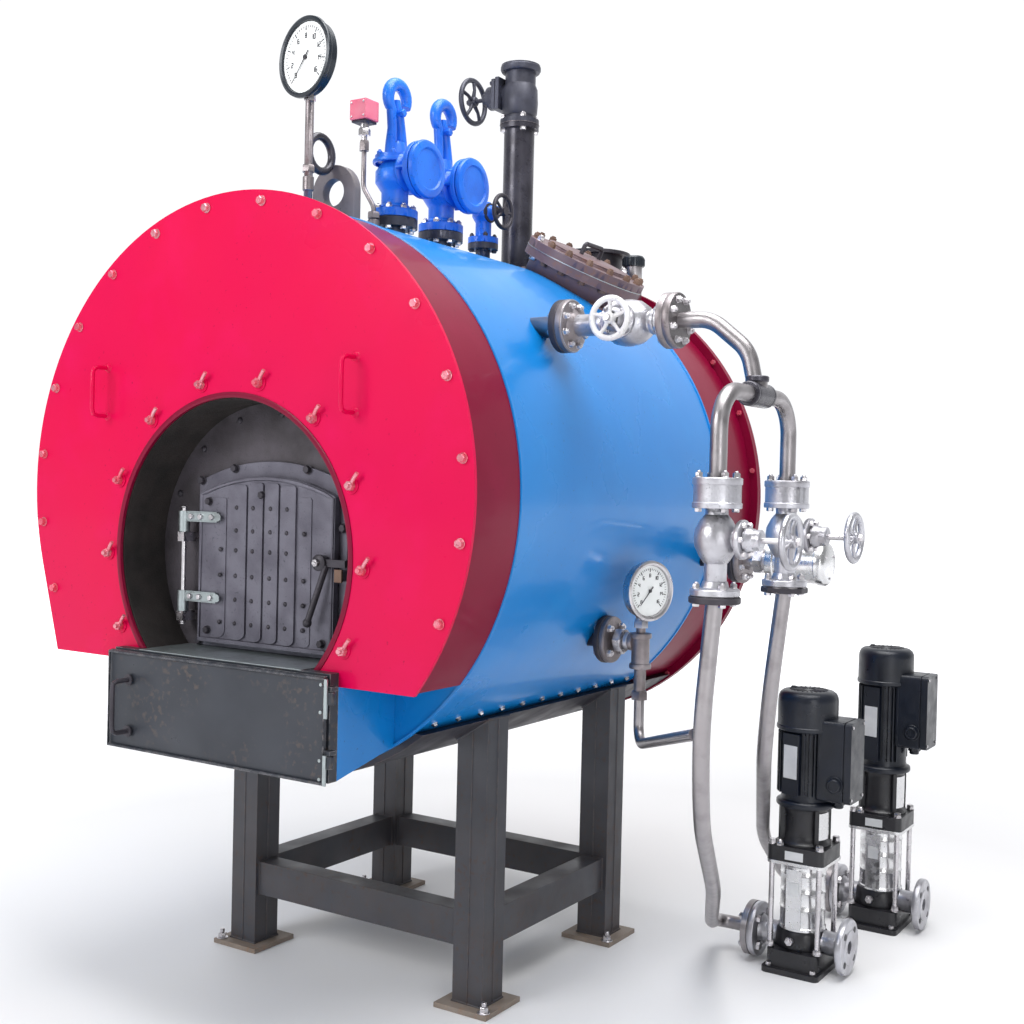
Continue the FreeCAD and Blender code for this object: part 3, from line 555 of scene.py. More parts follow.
def make_cover_bolts():
    bolts = Shape(RED_BOLT)
    for k in range(8):
        for side in (-1, 1):
            spot = polar((0, AXIS_Z), SHELL_R - 8, 90 + side * (k + 0.5) * 15.1, 0)
            bolts.rod(11, 2.5, spot, FRONT, 20, 0.6)
            bolts.hexagon(16, 9, spot + FRONT * (2.5 * MM), FRONT, random.uniform(0, 60))
    bolts.made("cover_rim_bolts", "boiler", "front_red")
    inner = Shape(RED_BOLT)
    for k in range(5):
        for side in (-1, 1):
            spot = polar((0, TUBE_Z), TUBE_R + 30, 90 + side * (k + 0.5) * 26.3, 0)
            inner.use(RED).rod(17, 3, spot, FRONT, 24, 0.8)
            inner.use(RED_BOLT).hexagon(19, 11, spot + FRONT * (3 * MM), FRONT, random.uniform(0, 60))
            inner.rod(5.5, 9, spot + FRONT * (12 * MM), FRONT, 12)
            tip = spot + RIGHT * (24 * MM) + UP * (26 * MM) + FRONT * (14 * MM)
            inner.sweep([spot + FRONT * (6 * MM), spot + (tip - spot) * 0.6 + FRONT * (4 * MM), tip], 4.2, 10)
    inner.made("cover_cleats", "boiler", "front_red")
    seams = Shape(BLUE)
    for y in (ends("boiler_shell")[0].y, ends("boiler_shell")[1].y):
        seams.turn([(SHELL_R - 3, -5), (SHELL_R + 2.5, -4), (SHELL_R + 3.5, 0), (SHELL_R + 2.5, 4),
                    (SHELL_R - 3, 5)], at(0, y, AXIS_Z), BACK, 180)
    seams.made("shell_seams", "boiler", "shell_blue")
    handles = Shape(RED)
    low, high = ends("cover_handles")
    for x in (low.x + 5, high.x - 5):
        path = [at(x, -1, low.z + 5), at(x, -30, low.z + 5), at(x, -41, low.z + 9), at(x, -45, low.z + 20),
                at(x, -45, high.z - 20), at(x, -41, high.z - 9), at(x, -30, high.z - 5), at(x, -1, high.z - 5)]
        handles.sweep(path, 5, 14)
        for z in (low.z + 5, high.z - 5):
            handles.turn([(0, 0), (11, 0), (8, 4), (5, 6), (0, 6)], at(x, 0, z), FRONT, 20)
    handles.made("bent_cover_handles", "boiler", "front_red", "cover_handles")
    lip = Shape(SHADED_RED)
    lip.turn([(TUBE_R - 9, -6), (TUBE_R - 9, 2), (TUBE_R - 4, 4), (TUBE_R + 3, 2), (TUBE_R + 3, -6)],
             at(0, 0, TUBE_Z), FRONT, 120, -45, 270)
    lip.made("mouth_lip", "boiler", "front_red")


def arch_outline(low_x, high_x, low_z, top_z, rise):
    middle, centre_z = (low_x + high_x) / 2, top_z - rise
    half = (high_x - low_x) / 2
    spread = math.degrees(math.asin(half / rise))
    top = circle(rise, (middle, centre_z), 90 - spread, 2 * spread, 24)
    return [(low_x, low_z), (high_x, low_z)] + top


def plank_outline(low_x, high_x, low_z, high_z):
    radius = (high_x - low_x) / 2
    middle = low_x + radius
    bottom = [(x, low_z + radius * 0.6 + (z - low_z) * 0.6)
              for x, z in circle(radius, (middle, low_z), 180, 180, 12)]
    return bottom + [(high_x, high_z - 4), (high_x - 4, high_z), (low_x + 4, high_z), (low_x, high_z - 4)]


def make_fire_door_face():
    low, high = ends("fire_door")
    rise = 521
    face = Shape(DOOR_IRON)
    outline = arch_outline(low.x, high.x, low.z, high.z, rise)
    face.extrude(outline, at(0, high.y, 0), RIGHT, UP, high.y - low.y - 3)
    rim = [at(x, low.y + 3, z) for x, z in arch_outline(low.x + 6, high.x - 6, low.z + 6, high.z - 6, rise - 6)]
    face.sweep(rim, 5, 8, True)
    seams = (-101, -39, 11, 58, 109)
    for left, right in zip(seams, seams[1:]):
        middle = (left + right) / 2 - (low.x + high.x) / 2
        crown = high.z - rise + math.sqrt(rise * rise - middle * middle) - 16
        face.extrude(plank_outline(left + 3, right - 3, low.z + 10, crown), at(0, low.y + 4, 0), RIGHT, UP, 6)
    face.extrude(plank_outline(115, 150, low.z + 10, high.z - 46), at(0, low.y + 4, 0), RIGHT, UP, 3)
    face.extrude(plank_outline(-168, -107, low.z + 10, high.z - 52), at(0, low.y + 4, 0), RIGHT, UP, 3)
    face.extrude([(low.x + 12, low.z), (high.x - 12, low.z), (high.x - 16, low.z + 9), (low.x + 16, low.z + 9)],
                 at(0, low.y + 4, 0), RIGHT, UP, 9)
    face.use(DARK_IRON)
    for x in (-121, -72, -21, 32, 81, 132):
        for z in (1156, 1104, 1059, 1001, 947, 893):
            if (x, z) in ((-121, 1156), (132, 1156), (-121, 947), (-121, 1104), (132, 1059)):
                continue
            face.turn([(0, 0), (5.5, 0), (4.6, 2.2), (2.5, 3.6), (0, 4)], at(x, low.y - 1.5, z), FRONT, 12)
    for x, z in ((5, 1186), (-160, 1168), (186, 868), (-160, 872)):
        face.rod(10, 2, at(x, low.y + 2, z), FRONT, 16, 0.5)
        face.hexagon(15, 9, at(x, low.y, z), FRONT, random.uniform(0, 60))
    face.made("plank_door", "fire_door_leaf", "door_iron", "fire_door", bevel=0.8)
    straps = Shape(STRAP)
    for bottom in (1120, 935):
        outline = [(-228, 3), (-120, 3), (-114, 7), (-114, 17), (-120, 21), (-228, 21)]
        straps.extrude(outline, at(0, low.y - 8, bottom), RIGHT, UP, 3)
        for x in (-206, -176, -140):
            straps.use(ZINC).hexagon(12, 6, at(x, low.y - 11, bottom + 12), FRONT, random.uniform(0, 60))
            straps.use(STRAP)
    straps.made("strap_plates", "fire_door_leaf", "bare_steel", bevel=0.6)
    pin = Shape(ZINC)
    x, y = -236, 95
    pin.rod(7.5, 6, at(x, y, 1150), UP, 20, 2)
    pin.rod(7.5, 6, at(x, y, 879), UP, 20, 2)
    for z in (1096, 911):
        pin.rod(11, 4, at(x, y, z - 5), UP, 20, 1)
    pin.made("pin_collars", "boiler", "bare_steel")
    latch = Shape(DARK_IRON)
    boss = at(190, low.y - 15, 1045)
    latch.turn([(0, 0), (18, 0), (18, 5), (13, 9), (0, 10)], boss, FRONT, 28)
    latch.use(ZINC).hexagon(16, 8, boss + FRONT * (9 * MM), FRONT, 12)
    latch.rod(4.5, 6, boss + FRONT * (16 * MM), FRONT, 12)
    latch.made("latch_cap", "latch", "bare_steel")
    frame_bolts = Shape(DARK_IRON)
    for x, z in ((-205, 1216), (226, 1216), (-205, 842), (226, 842), (-100, 1245), (120, 1245), (226, 1120)):
        frame_bolts.rod(11, 2, at(x, 122, z), FRONT, 16, 0.5)
        frame_bolts.hexagon(16, 9, at(x, 120, z), FRONT, random.uniform(0, 60))
    for angle in range(12, 180, 24):
        spot = polar((0, TUBE_Z), TUBE_R - 36, angle, 130)
        frame_bolts.turn([(0, 0), (8, 0), (6.5, 4), (3, 6), (0, 6.5)], spot, FRONT, 14)
    frame_bolts.use(RUST).bar((237, 78, 1006), (257, 83, 1033))
    frame_bolts.made("door_frame_bolts", "boiler", "door_iron", bevel=0.6)


def make_ash_door_trim():
    low, high = ends("ash_door")
    trim = Shape(ASH_STEEL)
    x0, x1 = low.x, high.x - 18
    front = low.y
    corners = [at(x0 + 4, front - 1, low.z + 4), at(x1, front - 1, low.z + 4),
               at(x1, front - 1, high.z - 4), at(x0 + 4, front - 1, high.z - 4)]
    trim.sweep(corners, 3.4, 8, True)
    trim.use(STRAP)
    for bottom, top in ((606, 668), (742, 822)):
        trim.extrude([(x1 + 1, bottom), (x1 + 9, bottom), (x1 + 9, top), (x1 + 1, top)],
                     at(0, front, 0), RIGHT, UP, 4)
        for z in (bottom + 12, top - 12):
            trim.hexagon(7, 3, at(x1 - 8, front - 1, z), FRONT, random.uniform(0, 60))
    handle_low, handle_high = ends("ash_door_handle")
    hx = (handle_low.x + handle_high.x) / 2
    trim.use(DARK_IRON)
    for z in (handle_low.z + 5, handle_high.z - 5):
        trim.extrude(circle(13, (hx, z), steps=20), at(0, front, 0), RIGHT, UP, 3)
    path = [at(hx, front, handle_low.z + 5), at(hx, front - 34, handle_low.z + 5),
            at(hx, front - 43, handle_low.z + 10), at(hx, front - 45, handle_low.z + 24),
            at(hx, front - 45, handle_high.z - 24), at(hx, front - 43, handle_high.z - 10),
            at(hx, front - 34, handle_high.z - 5), at(hx, front, handle_high.z - 5)]
    trim.sweep(path, 5.5, 12)
    trim.made("ash_door_trim", "ash_door_leaf", "ash_steel", "ash_door_handle", bevel=0.5)
    sill = Shape(STRAP)
    top = ends("ash_frame")[1].z
    sill.bar((-243, -27, top - 1), (243, 128, top + 1.5))
    sill.made("worn_sill", "boiler", "ash_steel", bevel=0.5)


make_cover_bolts()
make_fire_door_face()
make_ash_door_trim()


# ------------------------------------------------------------------------------- shell, stand, rear
LEG_X = 358
LEG_ROWS = (481, 1068)


def make_shell_details():
    screws = Shape(ZINC)
    low, high = ends("boiler_shell")
    for side in (-1, 1):
        for i in range(11):
            y = low.y + 45 + i * (high.y - low.y - 90) / 10
            out = (RIGHT * (side * math.sin(math.radians(38.6))) + DOWN * math.cos(math.radians(38.6)))
            spot = at(0, y, AXIS_Z) + out * ((SHELL_R - 0.5) * MM)
            screws.rod(8, 2, spot, out, 16, 0.5)
            screws.hexagon(10, 5, spot + out * (2 * MM), out, random.uniform(0, 60))
    screws.made("belly_screws", "boiler", "shell_blue")
    bolts = Shape(RED_BOLT)
    rear_low, rear_high = ends("rear_cover")
    for i in range(24):
        spot = polar((0, AXIS_Z), SHELL_R + 11, 7.5 + 15 * i, rear_low.y - 12)
        bolts.stud(4.5, spot, BACK, 24, 13)
    bolts.use(SHADED_RED)
    bolts.turn([(360, 0), (360, 5), (356, 7), (304, 7), (300, 5), (300, 0)], at(0, rear_high.y, AXIS_Z), BACK, 96)
    for x in (-250, 250):
        path = [at(x, rear_high.y, 1130), at(x, rear_high.y + 40, 1136), at(x, rear_high.y + 45, 1160),
                at(x, rear_high.y + 45, 1230), at(x, rear_high.y + 40, 1254), at(x, rear_high.y, 1260)]
        bolts.sweep(path, 6, 12)
    for i in range(12):
        spot = polar((0, AXIS_Z), 330, 15 + 30 * i, rear_high.y + 7)
        bolts.hexagon(15, 9, spot, BACK, random.uniform(0, 60))
    bolts.made("rear_cover_bolts", "boiler", "rear_red")
    welds = Shape(STEEL_PRIMER)
    leg_low, leg_high = ends("legs")
    beam_low, beam_high = ends("cross_beams")
    half = 42.5
    for sx in (-1, 1):
        x = sx * LEG_X
        for y in LEG_ROWS:
            top = AXIS_Z - math.sqrt(650 ** 2 - LEG_X ** 2) - 4
            for face in (-1, 1):
                welds.sweep([at(x, y + face * half, leg_low.z + 2), at(x, y + face * half, top)], 2.2, 8)
                welds.sweep([at(x + face * half, y, leg_low.z + 2), at(x + face * half, y, top + face * sx * 30)],
                            2.2, 8)
            foot = [at(x - half, y - half, 13), at(x + half, y - half, 13),
                    at(x + half, y + half, 13), at(x - half, y + half, 13)]
            welds.sweep(foot, 3.5, 8, True)
            collar = []
            for dx, dy in ((-half, -half), (half, -half), (half, half), (-half, half)):
                px = abs(x + dx)
                collar.append(at(x + dx, y + dy, AXIS_Z - math.sqrt(651 ** 2 - px * px)))
            welds.sweep(collar, 3.5, 8, True)
        for y in (LEG_ROWS[0] + half, LEG_ROWS[1] - half):
            z0, z1 = beam_low.z, beam_high.z
            welds.sweep([at(x - 30, y, z0), at(x + 30, y, z0), at(x + 30, y, z1), at(x - 30, y, z1)], 3, 8, True)
        inner = sx * (LEG_X - half)
        for y in LEG_ROWS:
            z0, z1 = beam_low.z, beam_high.z
            welds.sweep([at(inner, y - 30, z0), at(inner, y + 30, z0), at(inner, y + 30, z1), at(inner, y - 30, z1)],
                        3, 8, True)
    welds.made("stand_welds", "boiler", "stand_grey")
    anchors = Shape(ZINC)
    for sx in (-1, 1):
        for y in LEG_ROWS:
            spot = at(sx * 416, y - 58, 12)
            anchors.rod(15, 2.5, spot, UP, 20, 0.6)
            anchors.hexagon(19, 12, spot + UP * (2.5 * MM), UP, random.uniform(0, 60))
            anchors.rod(6, 10, spot + UP * (14.5 * MM), UP, 12)
    anchors.made("anchor_nuts", "boiler", "base_rust")


make_shell_details()
# ------------------------------------------------------------------------------- crown fittings
def tick_dial(dial, centre, facing, radius, thick=1.0):
    """Ticks, a pointer and a hub on a dial whose face lies at centre and looks along facing."""
    across = UP.cross(facing).normalized()
    for i in range(41):
        angle = math.radians(225 - 270 * i / 40)
        long_tick = i % 5 == 0
        out = across * math.cos(angle) + UP * math.sin(angle)
        inner = radius * (0.76 if long_tick else 0.83)
        middle = centre + out * ((inner + 0.9 * radius) / 2 * MM)
        turn = Matrix((across, -facing, UP)).transposed() @ Matrix.Rotation(-(angle - math.pi / 2), 3, "Y")
        dial.box(middle, (1.8 if long_tick else 0.8, thick, 0.9 * radius - inner), turn)
    for i in range(9):
        angle = math.radians(225 - 270 * i / 8)
        out = across * math.cos(angle) + UP * math.sin(angle)
        spot = centre + out * (0.62 * radius * MM)
        upright = Matrix((across, -facing, UP)).transposed()
        numeral(dial, str(2 * i), spot, upright, 0.13 * radius, thick)
    angle = math.radians(228)
    out = across * math.cos(angle) + UP * math.sin(angle)
    side = out.cross(facing)
    raised = centre + facing * (2 * MM)
    dial.extrude([(-0.22 * radius, -1.6), (0.78 * radius, -0.5), (0.78 * radius, 0.5), (-0.22 * radius, 1.6)],
                 raised, out, side, -0.8)
    dial.rod(0.07 * radius, 4, centre, facing, 20, 0.5)


SEGMENTS = {"0": "abcdef", "1": "bc", "2": "abged", "4": "fgbc", "6": "afedcg", "8": "abcdefg"}


def numeral(dial, text, spot, upright, tall, thick):
    """Plain numbers made of straight strokes."""
    wide = 0.55 * tall
    strokes = {"a": (0, 1, wide, 0.16), "g": (0, 0, wide, 0.16), "d": (0, -1, wide, 0.16),
               "b": (1, 0.5, 0.16, tall / 2), "c": (1, -0.5, 0.16, tall / 2),
               "f": (-1, 0.5, 0.16, tall / 2), "e": (-1, -0.5, 0.16, tall / 2)}
    across, _, up = (upright @ v for v in (RIGHT, BACK, UP))
    start = -(len(text) - 1) * 0.5 * wide * 1.6
    for place, digit in enumerate(text):
        for stroke in SEGMENTS[digit]:
            right, high, w, h = strokes[stroke]
            w = tall * 0.16 if w < 0.2 else w
            h = tall * 0.16 if h < 0.2 else h
            shift = across * ((start + place * wide * 1.6 + right * wide / 2) * MM) + up * (high * tall / 2 * MM)
            dial.box(spot + shift, (w, thick, h), upright)


def make_dial(centre, facing, radius, deep, rim_finish):
    """A round gauge: case, stepped rim and dial."""
    gauge = Shape(rim_finish)
    gauge.turn([(0, 0), (radius - 10, 0), (radius - 3, 4), (radius - 3, deep - 8), (radius + 3, deep - 7),
                (radius + 5, deep - 3), (radius + 4, deep + 3), (radius - 1, deep + 5), (radius - 6, deep + 3),
                (radius - 7, deep - 4), (0, deep - 4)], centre, facing, 96)
    face = centre + facing * ((deep - 3.6) * MM)
    gauge.use(DIAL).turn([(0, 0), (radius - 7.5, 0), (radius - 7.5, 0.8), (0, 0.8)], face, facing, 96)
    gauge.use(INK)
    tick_dial(gauge, face + facing * (1.2 * MM), facing, radius - 8)
    for side in (-1, 1):
        spot = centre + facing * ((deep - 2) * MM) + UP * (side * (radius + 1) * MM)
        gauge.use(ZINC).rod(2.5, 3, spot, facing, 12)
    return gauge


def make_instruments():
    low = ends("pressure_gauge")[0]
    swing = math.radians(10)
    facing = Vector((-math.sin(swing), -math.cos(swing), 0))
    gauge = make_dial(at(5, 244, 2193), facing, 88, 30, CASE_DARK)
    gauge.use(ZINC).hexagon(24, 22, at(0, 235, low.z + 4), UP, 10)
    gauge.rod(14, 10, at(0, 235, low.z + 26), UP, 24)
    gauge.use(CASE_DARK).rod(16, 14, at(2, 238, low.z + 30), UP, 24, 3)
    gauge.made("dial_gauge", "boiler", "gauge", "pressure_gauge")
    collars = Shape(FLANGE_GREY)
    for z in (1846, 1934):
        collars.hexagon(27, 16, at(0, 235, z), UP, 12 + z)
    collars.rod(13, 34, at(0, 235, 1890), UP, 24, 2)
    collars.use(PIPE_BLACK).sweep([at(0, 275 + 40 * math.cos(a), 1985 + 40 * math.sin(a))
                                   for a in [math.radians(12 * i) for i in range(30)]], 9.5, 16, True)
    collars.use(ZINC)
    collars.hexagon(26, 18, at(-30, 470, 2078), UP, 4)
    collars.rod(10, 12, at(-30, 470, 2098), UP, 20)
    collars.use(FLANGE_GREY).hexagon(22, 26, at(-30, 470, 2040), UP, 30)
    collars.rod(15, 44, at(0, 476, 1826), UP, 24, 3)
    collars.hexagon(28, 16, at(0, 476, 1872), UP, 20)
    collars.made("instrument_unions", "boiler", "pipe_grey")
    low, high = ends("pressure_switch")
    switch = Shape(PINK)
    middle = at((low.x + high.x) / 2, (low.y + high.y) / 2, high.z - 26)
    switch.box(middle, (high.x - low.x, high.y - low.y, 50))
    switch.use(DARK_IRON).box(middle - UP * (28 * MM), (high.x - low.x - 6, high.y - low.y - 6, 6))
    switch.use(PINK)
    switch.made("switch_case", "boiler", "switch_red", "pressure_switch", bevel=4, segments=3)
    screws = Shape(ZINC)
    for dx in (-19, 19):
        for dz in (-17, 17):
            screws.rod(2.6, 2, middle + RIGHT * (dx * MM) + UP * (dz * MM) + FRONT * (26 * MM), FRONT, 12)
    screws.rod(7, 52, at(-30, 470, 2058), UP, 20, 1)
    screws.rod(11, 22, at(-30, 470, 2088), UP, 24, 1)
    screws.made("switch_screws", "boiler", "switch_red")


def make_safety_details():
    valves = Shape(VALVE_BLUE)
    joints = Shape(ZINC)
    covers = Shape(VALVE_BLUE)
    for y in (558, 757):
        for angle in range(0, 360, 45):
            spot = at(48 * math.cos(math.radians(angle + 22)), y + 48 * math.sin(math.radians(angle + 22)), 1861)
            joints.stud(4.5, spot, UP, 44, 14)
        for angle in range(0, 360, 60):
            spot = at(43 * math.cos(math.radians(angle)), y + 43 * math.sin(math.radians(angle)), 2042)
            valves.hexagon(13, 9, spot, UP, angle)
            valves.rod(4, 13, spot, UP, 10)
        valves.turn([(51, -5), (57, -4), (58, 0), (57, 5), (51, 6)], at(0, y, 2026), UP, 64)
        valves.turn([(33, -6), (40, -4), (42, 0), (38, 6), (33, 9)], at(0, y, 1912), UP, 48)
        valves.turn([(39, 0), (46, 2), (50, 10), (44, 18), (39, 20)], at(30, y, 2000), RIGHT, 56)
        for spin in (0, 90, 180, 270):
            way = Vector((0, math.cos(math.radians(spin)), math.sin(math.radians(spin))))
            valves.box(at(62, y, 2000) + way * (48 * MM), (34, 6, 22), Matrix.Rotation(math.radians(spin - 90), 3, "X"))
        hook = []
        for step in range(19):
            angle = math.radians(232 - 14.2 * step)
            hook.append(at(0, y + 2 + 37 * math.cos(angle), 2186 + 37 * math.sin(angle)))
        lead = [at(0, y - 19, 2044), at(0, y - 20, 2075), at(0, y - 17, 2110), at(0, y - 20, 2138)]
        sizes = [17, 14, 12, 12] + [13 + 3.5 * math.sin(math.pi * i / 18) for i in range(19)]
        valves.sweep(lead + hook, sizes, 18)
        inner = [at(0, y + 20, 2044), at(0, y + 21, 2080), at(0, y + 17, 2115), at(0, y + 10, 2145),
                 at(0, y + 2, 2166), at(0, y + 1, 2184)]
        valves.sweep(inner, [17, 15, 13, 13, 11, 8], 18)
        valves.rod(8, 30, at(-15, y + 2, 2150), RIGHT, 16, 1)
        valves.hexagon(18, 10, at(15, y + 2, 2150), RIGHT, 10)
        covers.turn([(0, 0), (66, 0), (71, 4), (72, 9), (69, 15), (62, 18), (52, 18), (48, 14), (0, 14)],
                    at(90, y, 2000), RIGHT, 80)
        covers.turn([(68, 0), (71, 3), (71, 11), (68, 14), (40, 14), (40, 0)], at(76, y, 2000), RIGHT, 80)
    valves.made("safety_yokes", "boiler", "valve_blue", "safety_valve_yokes", bevel=0.8)
    joints.made("safety_bolts", "boiler", "pipe_black")
    covers.made("outlet_discs", "boiler", "valve_blue", "safety_outlet_covers")
    vent = Shape(DARK_IRON)
    for angle in range(45, 405, 90):
        spot = at(32 * math.cos(math.radians(angle)), 957 + 32 * math.sin(math.radians(angle)), 1874)
        vent.stud(4, spot, UP, 33, 12)
    vent.turn([(17, 0), (27, 2), (27, 10), (17, 12)], at(14, 957, 1975), RIGHT, 36)
    vent.hexagon(30, 12, at(34, 957, 1975), RIGHT, 15)
    vent.made("vent_bolts", "boiler", "pipe_black")


def make_steam_details():
    high = ends("steam_valve")[1]
    y = (ends("steam_riser")[0].y + ends("steam_riser")[1].y) / 2
    joint = ends("steam_riser")[1].z
    valve = Shape(VALVE_BLACK)
    valve.turn([(43, -4), (54, -3), (58, 4), (58, 12), (54, 17), (43, 18)], at(0, y, high.z - 18), UP, 72)
    valve.turn([(44, 0), (50, 10), (52, 40), (50, 78), (44, 92)], at(0, y, joint + 24), UP, 72)
    spindle = ends("steam_wheel")
    sz = (spindle[0].z + spindle[1].z) / 2
    for reach, half, deep in ((46, 46, 13), (62, 43, 12)):
        valve.extrude([(-half, -half), (half, -half), (half, half), (-half, half)],
                      at(-reach, y, sz), BACK, UP, -deep)
    for dy in (-33, 33):
        for dz in (-33, 33):
            valve.hexagon(13, 8, at(-74, y + dy, sz + dz), LEFT, dy + dz)
    valve.turn([(33, 0), (36, 2), (36, 10), (28, 20), (24, 34), (17, 40), (17, 0)], at(-74, y, sz), LEFT, 40)
    valve.hexagon(34, 12, at(-108, y, sz), LEFT, 14)
    valve.made("steam_valve_bonnet", "boiler", "pipe_black", bevel=2)
    joints = Shape(ZINC)
    for angle in range(45, 405, 90):
        spot = at(47 * math.cos(math.radians(angle)), y + 47 * math.sin(math.radians(angle)), joint - 14)
        joints.stud(5, spot, UP, 29, 15)
    joints.use(FLANGE_GREY).turn([(44, 0), (57.5, 0.5), (57.5, 1.5), (44, 2)], at(0, y, joint - 0.5), UP, 64)
    joints.use(PIPE_BLACK).turn([(43, 0), (64, 0), (66, 5), (62, 20), (50, 30), (43, 34)], at(0, y, 1812), UP, 64)
    joints.made("steam_joint_bolts", "boiler", "pipe_black")
    wheel = Shape(VALVE_BLACK)
    hub = at(spindle[0].x + 6, y, sz)
    wheel.sweep([hub + BACK * (62 * MM * math.cos(a)) + UP * (62 * MM * math.sin(a))
                 for a in [math.radians(7.5 * i) for i in range(48)]], 7.5, 16, True)
    for i in range(5):
        a = math.radians(72 * i + 18)
        out = BACK * math.cos(a) + UP * math.sin(a)
        wheel.sweep([hub + out * (8 * MM), hub + out * (34 * MM) + RIGHT * (4 * MM), hub + out * (60 * MM)],
                    [7, 5, 5.5], 12)
    wheel.rod(14, 24, hub + RIGHT * (12 * MM), LEFT, 28, 2)
    wheel.rod(6, 60, hub, RIGHT, 16)
    wheel.hexagon(15, 8, hub + LEFT * (12 * MM), LEFT, 10)
    wheel.made("steam_handwheel_rim", "steam_handwheel", "wheel_dark", "steam_wheel")


def make_manhole_details():
    tilt = math.radians(27)
    way = Vector((math.sin(tilt), 0, math.cos(tilt)))
    across = Vector((way.z, 0, -way.x))
    y = (ends("manhole_cover")[0].y + ends("manhole_cover")[1].y) / 2
    base = at(0, y, AXIS_Z)
    ring = Shape(BROWN_PRIMER)
    for i in range(16):
        a = math.radians(11.25 + 22.5 * i)
        out = across * math.cos(a) + BACK * math.sin(a)
        ring.use(ZINC if i in (3, 10) else RUST)
        ring.stud(6, base + way * (664 * MM) + out * (150 * MM), way, 43, 17)
    ring.use(BROWN_PRIMER).turn([(0, 0), (118, 0), (116, 7), (106, 12), (60, 15), (0, 16)],
                                base + way * (704 * MM), way, 72)
    ring.turn([(144, 0), (160, 0), (156, 8), (150, 10), (144, 10)], base + way * (612 * MM), way, 72)
    ring.use(STRAP).turn([(120, 0), (166, 0), (166, 1.6), (120, 1.6)], base + way * (685.6 * MM), way, 90)
    for side in (-1, 1):
        path = [base + way * (718 * MM) + BACK * (side * 46 * MM), base + way * (742 * MM) + BACK * (side * 46 * MM),
                base + way * (748 * MM) + BACK * (side * 40 * MM)]
        ring.use(DARK_IRON).sweep(path, 6, 12)
    ring.sweep([base + way * (748 * MM) + BACK * (40 * MM), base + way * (748 * MM) - BACK * (40 * MM)], 6, 12)
    ring.made("manhole_bolts", "boiler", "primer_brown")
    flue = Shape(DARK_IRON)
    low, high = ends("flue_collar")
    fx, fy = (low.x + high.x) / 2, (low.y + high.y) / 2
    flue.turn([(79, 0), (86, 1), (87, 10), (84, 14), (79, 14)], at(fx, fy, high.z - 10), UP, 80)
    flue.turn([(85, 0), (97, 0), (92, 9), (85, 14)], at(fx, fy, 1800), UP, 80)
    flue.made("flue_rim", "boiler", "pipe_black")
    cap = Shape(CASE_DARK)
    low, high = ends("capped_nozzle")
    cx, cy = (low.x + high.x) / 2, (low.y + high.y) / 2
    cap.turn([(25, 0), (30, 1), (31, 6), (31, 26), (27, 31), (0, 33), (0, 0)], at(cx, cy, high.z - 26), UP, 48)
    for i in range(24):
        a = math.radians(15 * i)
        out = RIGHT * math.cos(a) + BACK * math.sin(a)
        cap.sweep([at(cx, cy, high.z - 22) + out * (31 * MM), at(cx, cy, high.z - 3) + out * (31 * MM)], 1.8, 6)
    cap.made("nozzle_cap", "boiler", "pipe_grey")


make_instruments()
make_safety_details()
make_steam_details()
make_manhole_details()
# ------------------------------------------------------------------------------- feed line
def spoked_rim(wheel, hub, axis, radius, thick):
    """A cast handwheel about a hub: a round rim and curved spokes."""
    side = side_of(axis)
    other = axis.cross(side)
    rim = []
    for i in range(48):
        a = math.radians(7.5 * i)
        rim.append(hub + (side * math.cos(a) + other * math.sin(a)) * (radius * MM))
    wheel.sweep(rim, thick, 14, True)
    for i in range(5):
        a = math.radians(72 * i + 20)
        out = side * math.cos(a) + other * math.sin(a)
        wheel.sweep([hub + out * (6 * MM), hub + out * (0.55 * radius * MM) - axis * (3 * MM),
                     hub + out * ((radius - 2) * MM)], [5.5, 4, 4.4], 10)


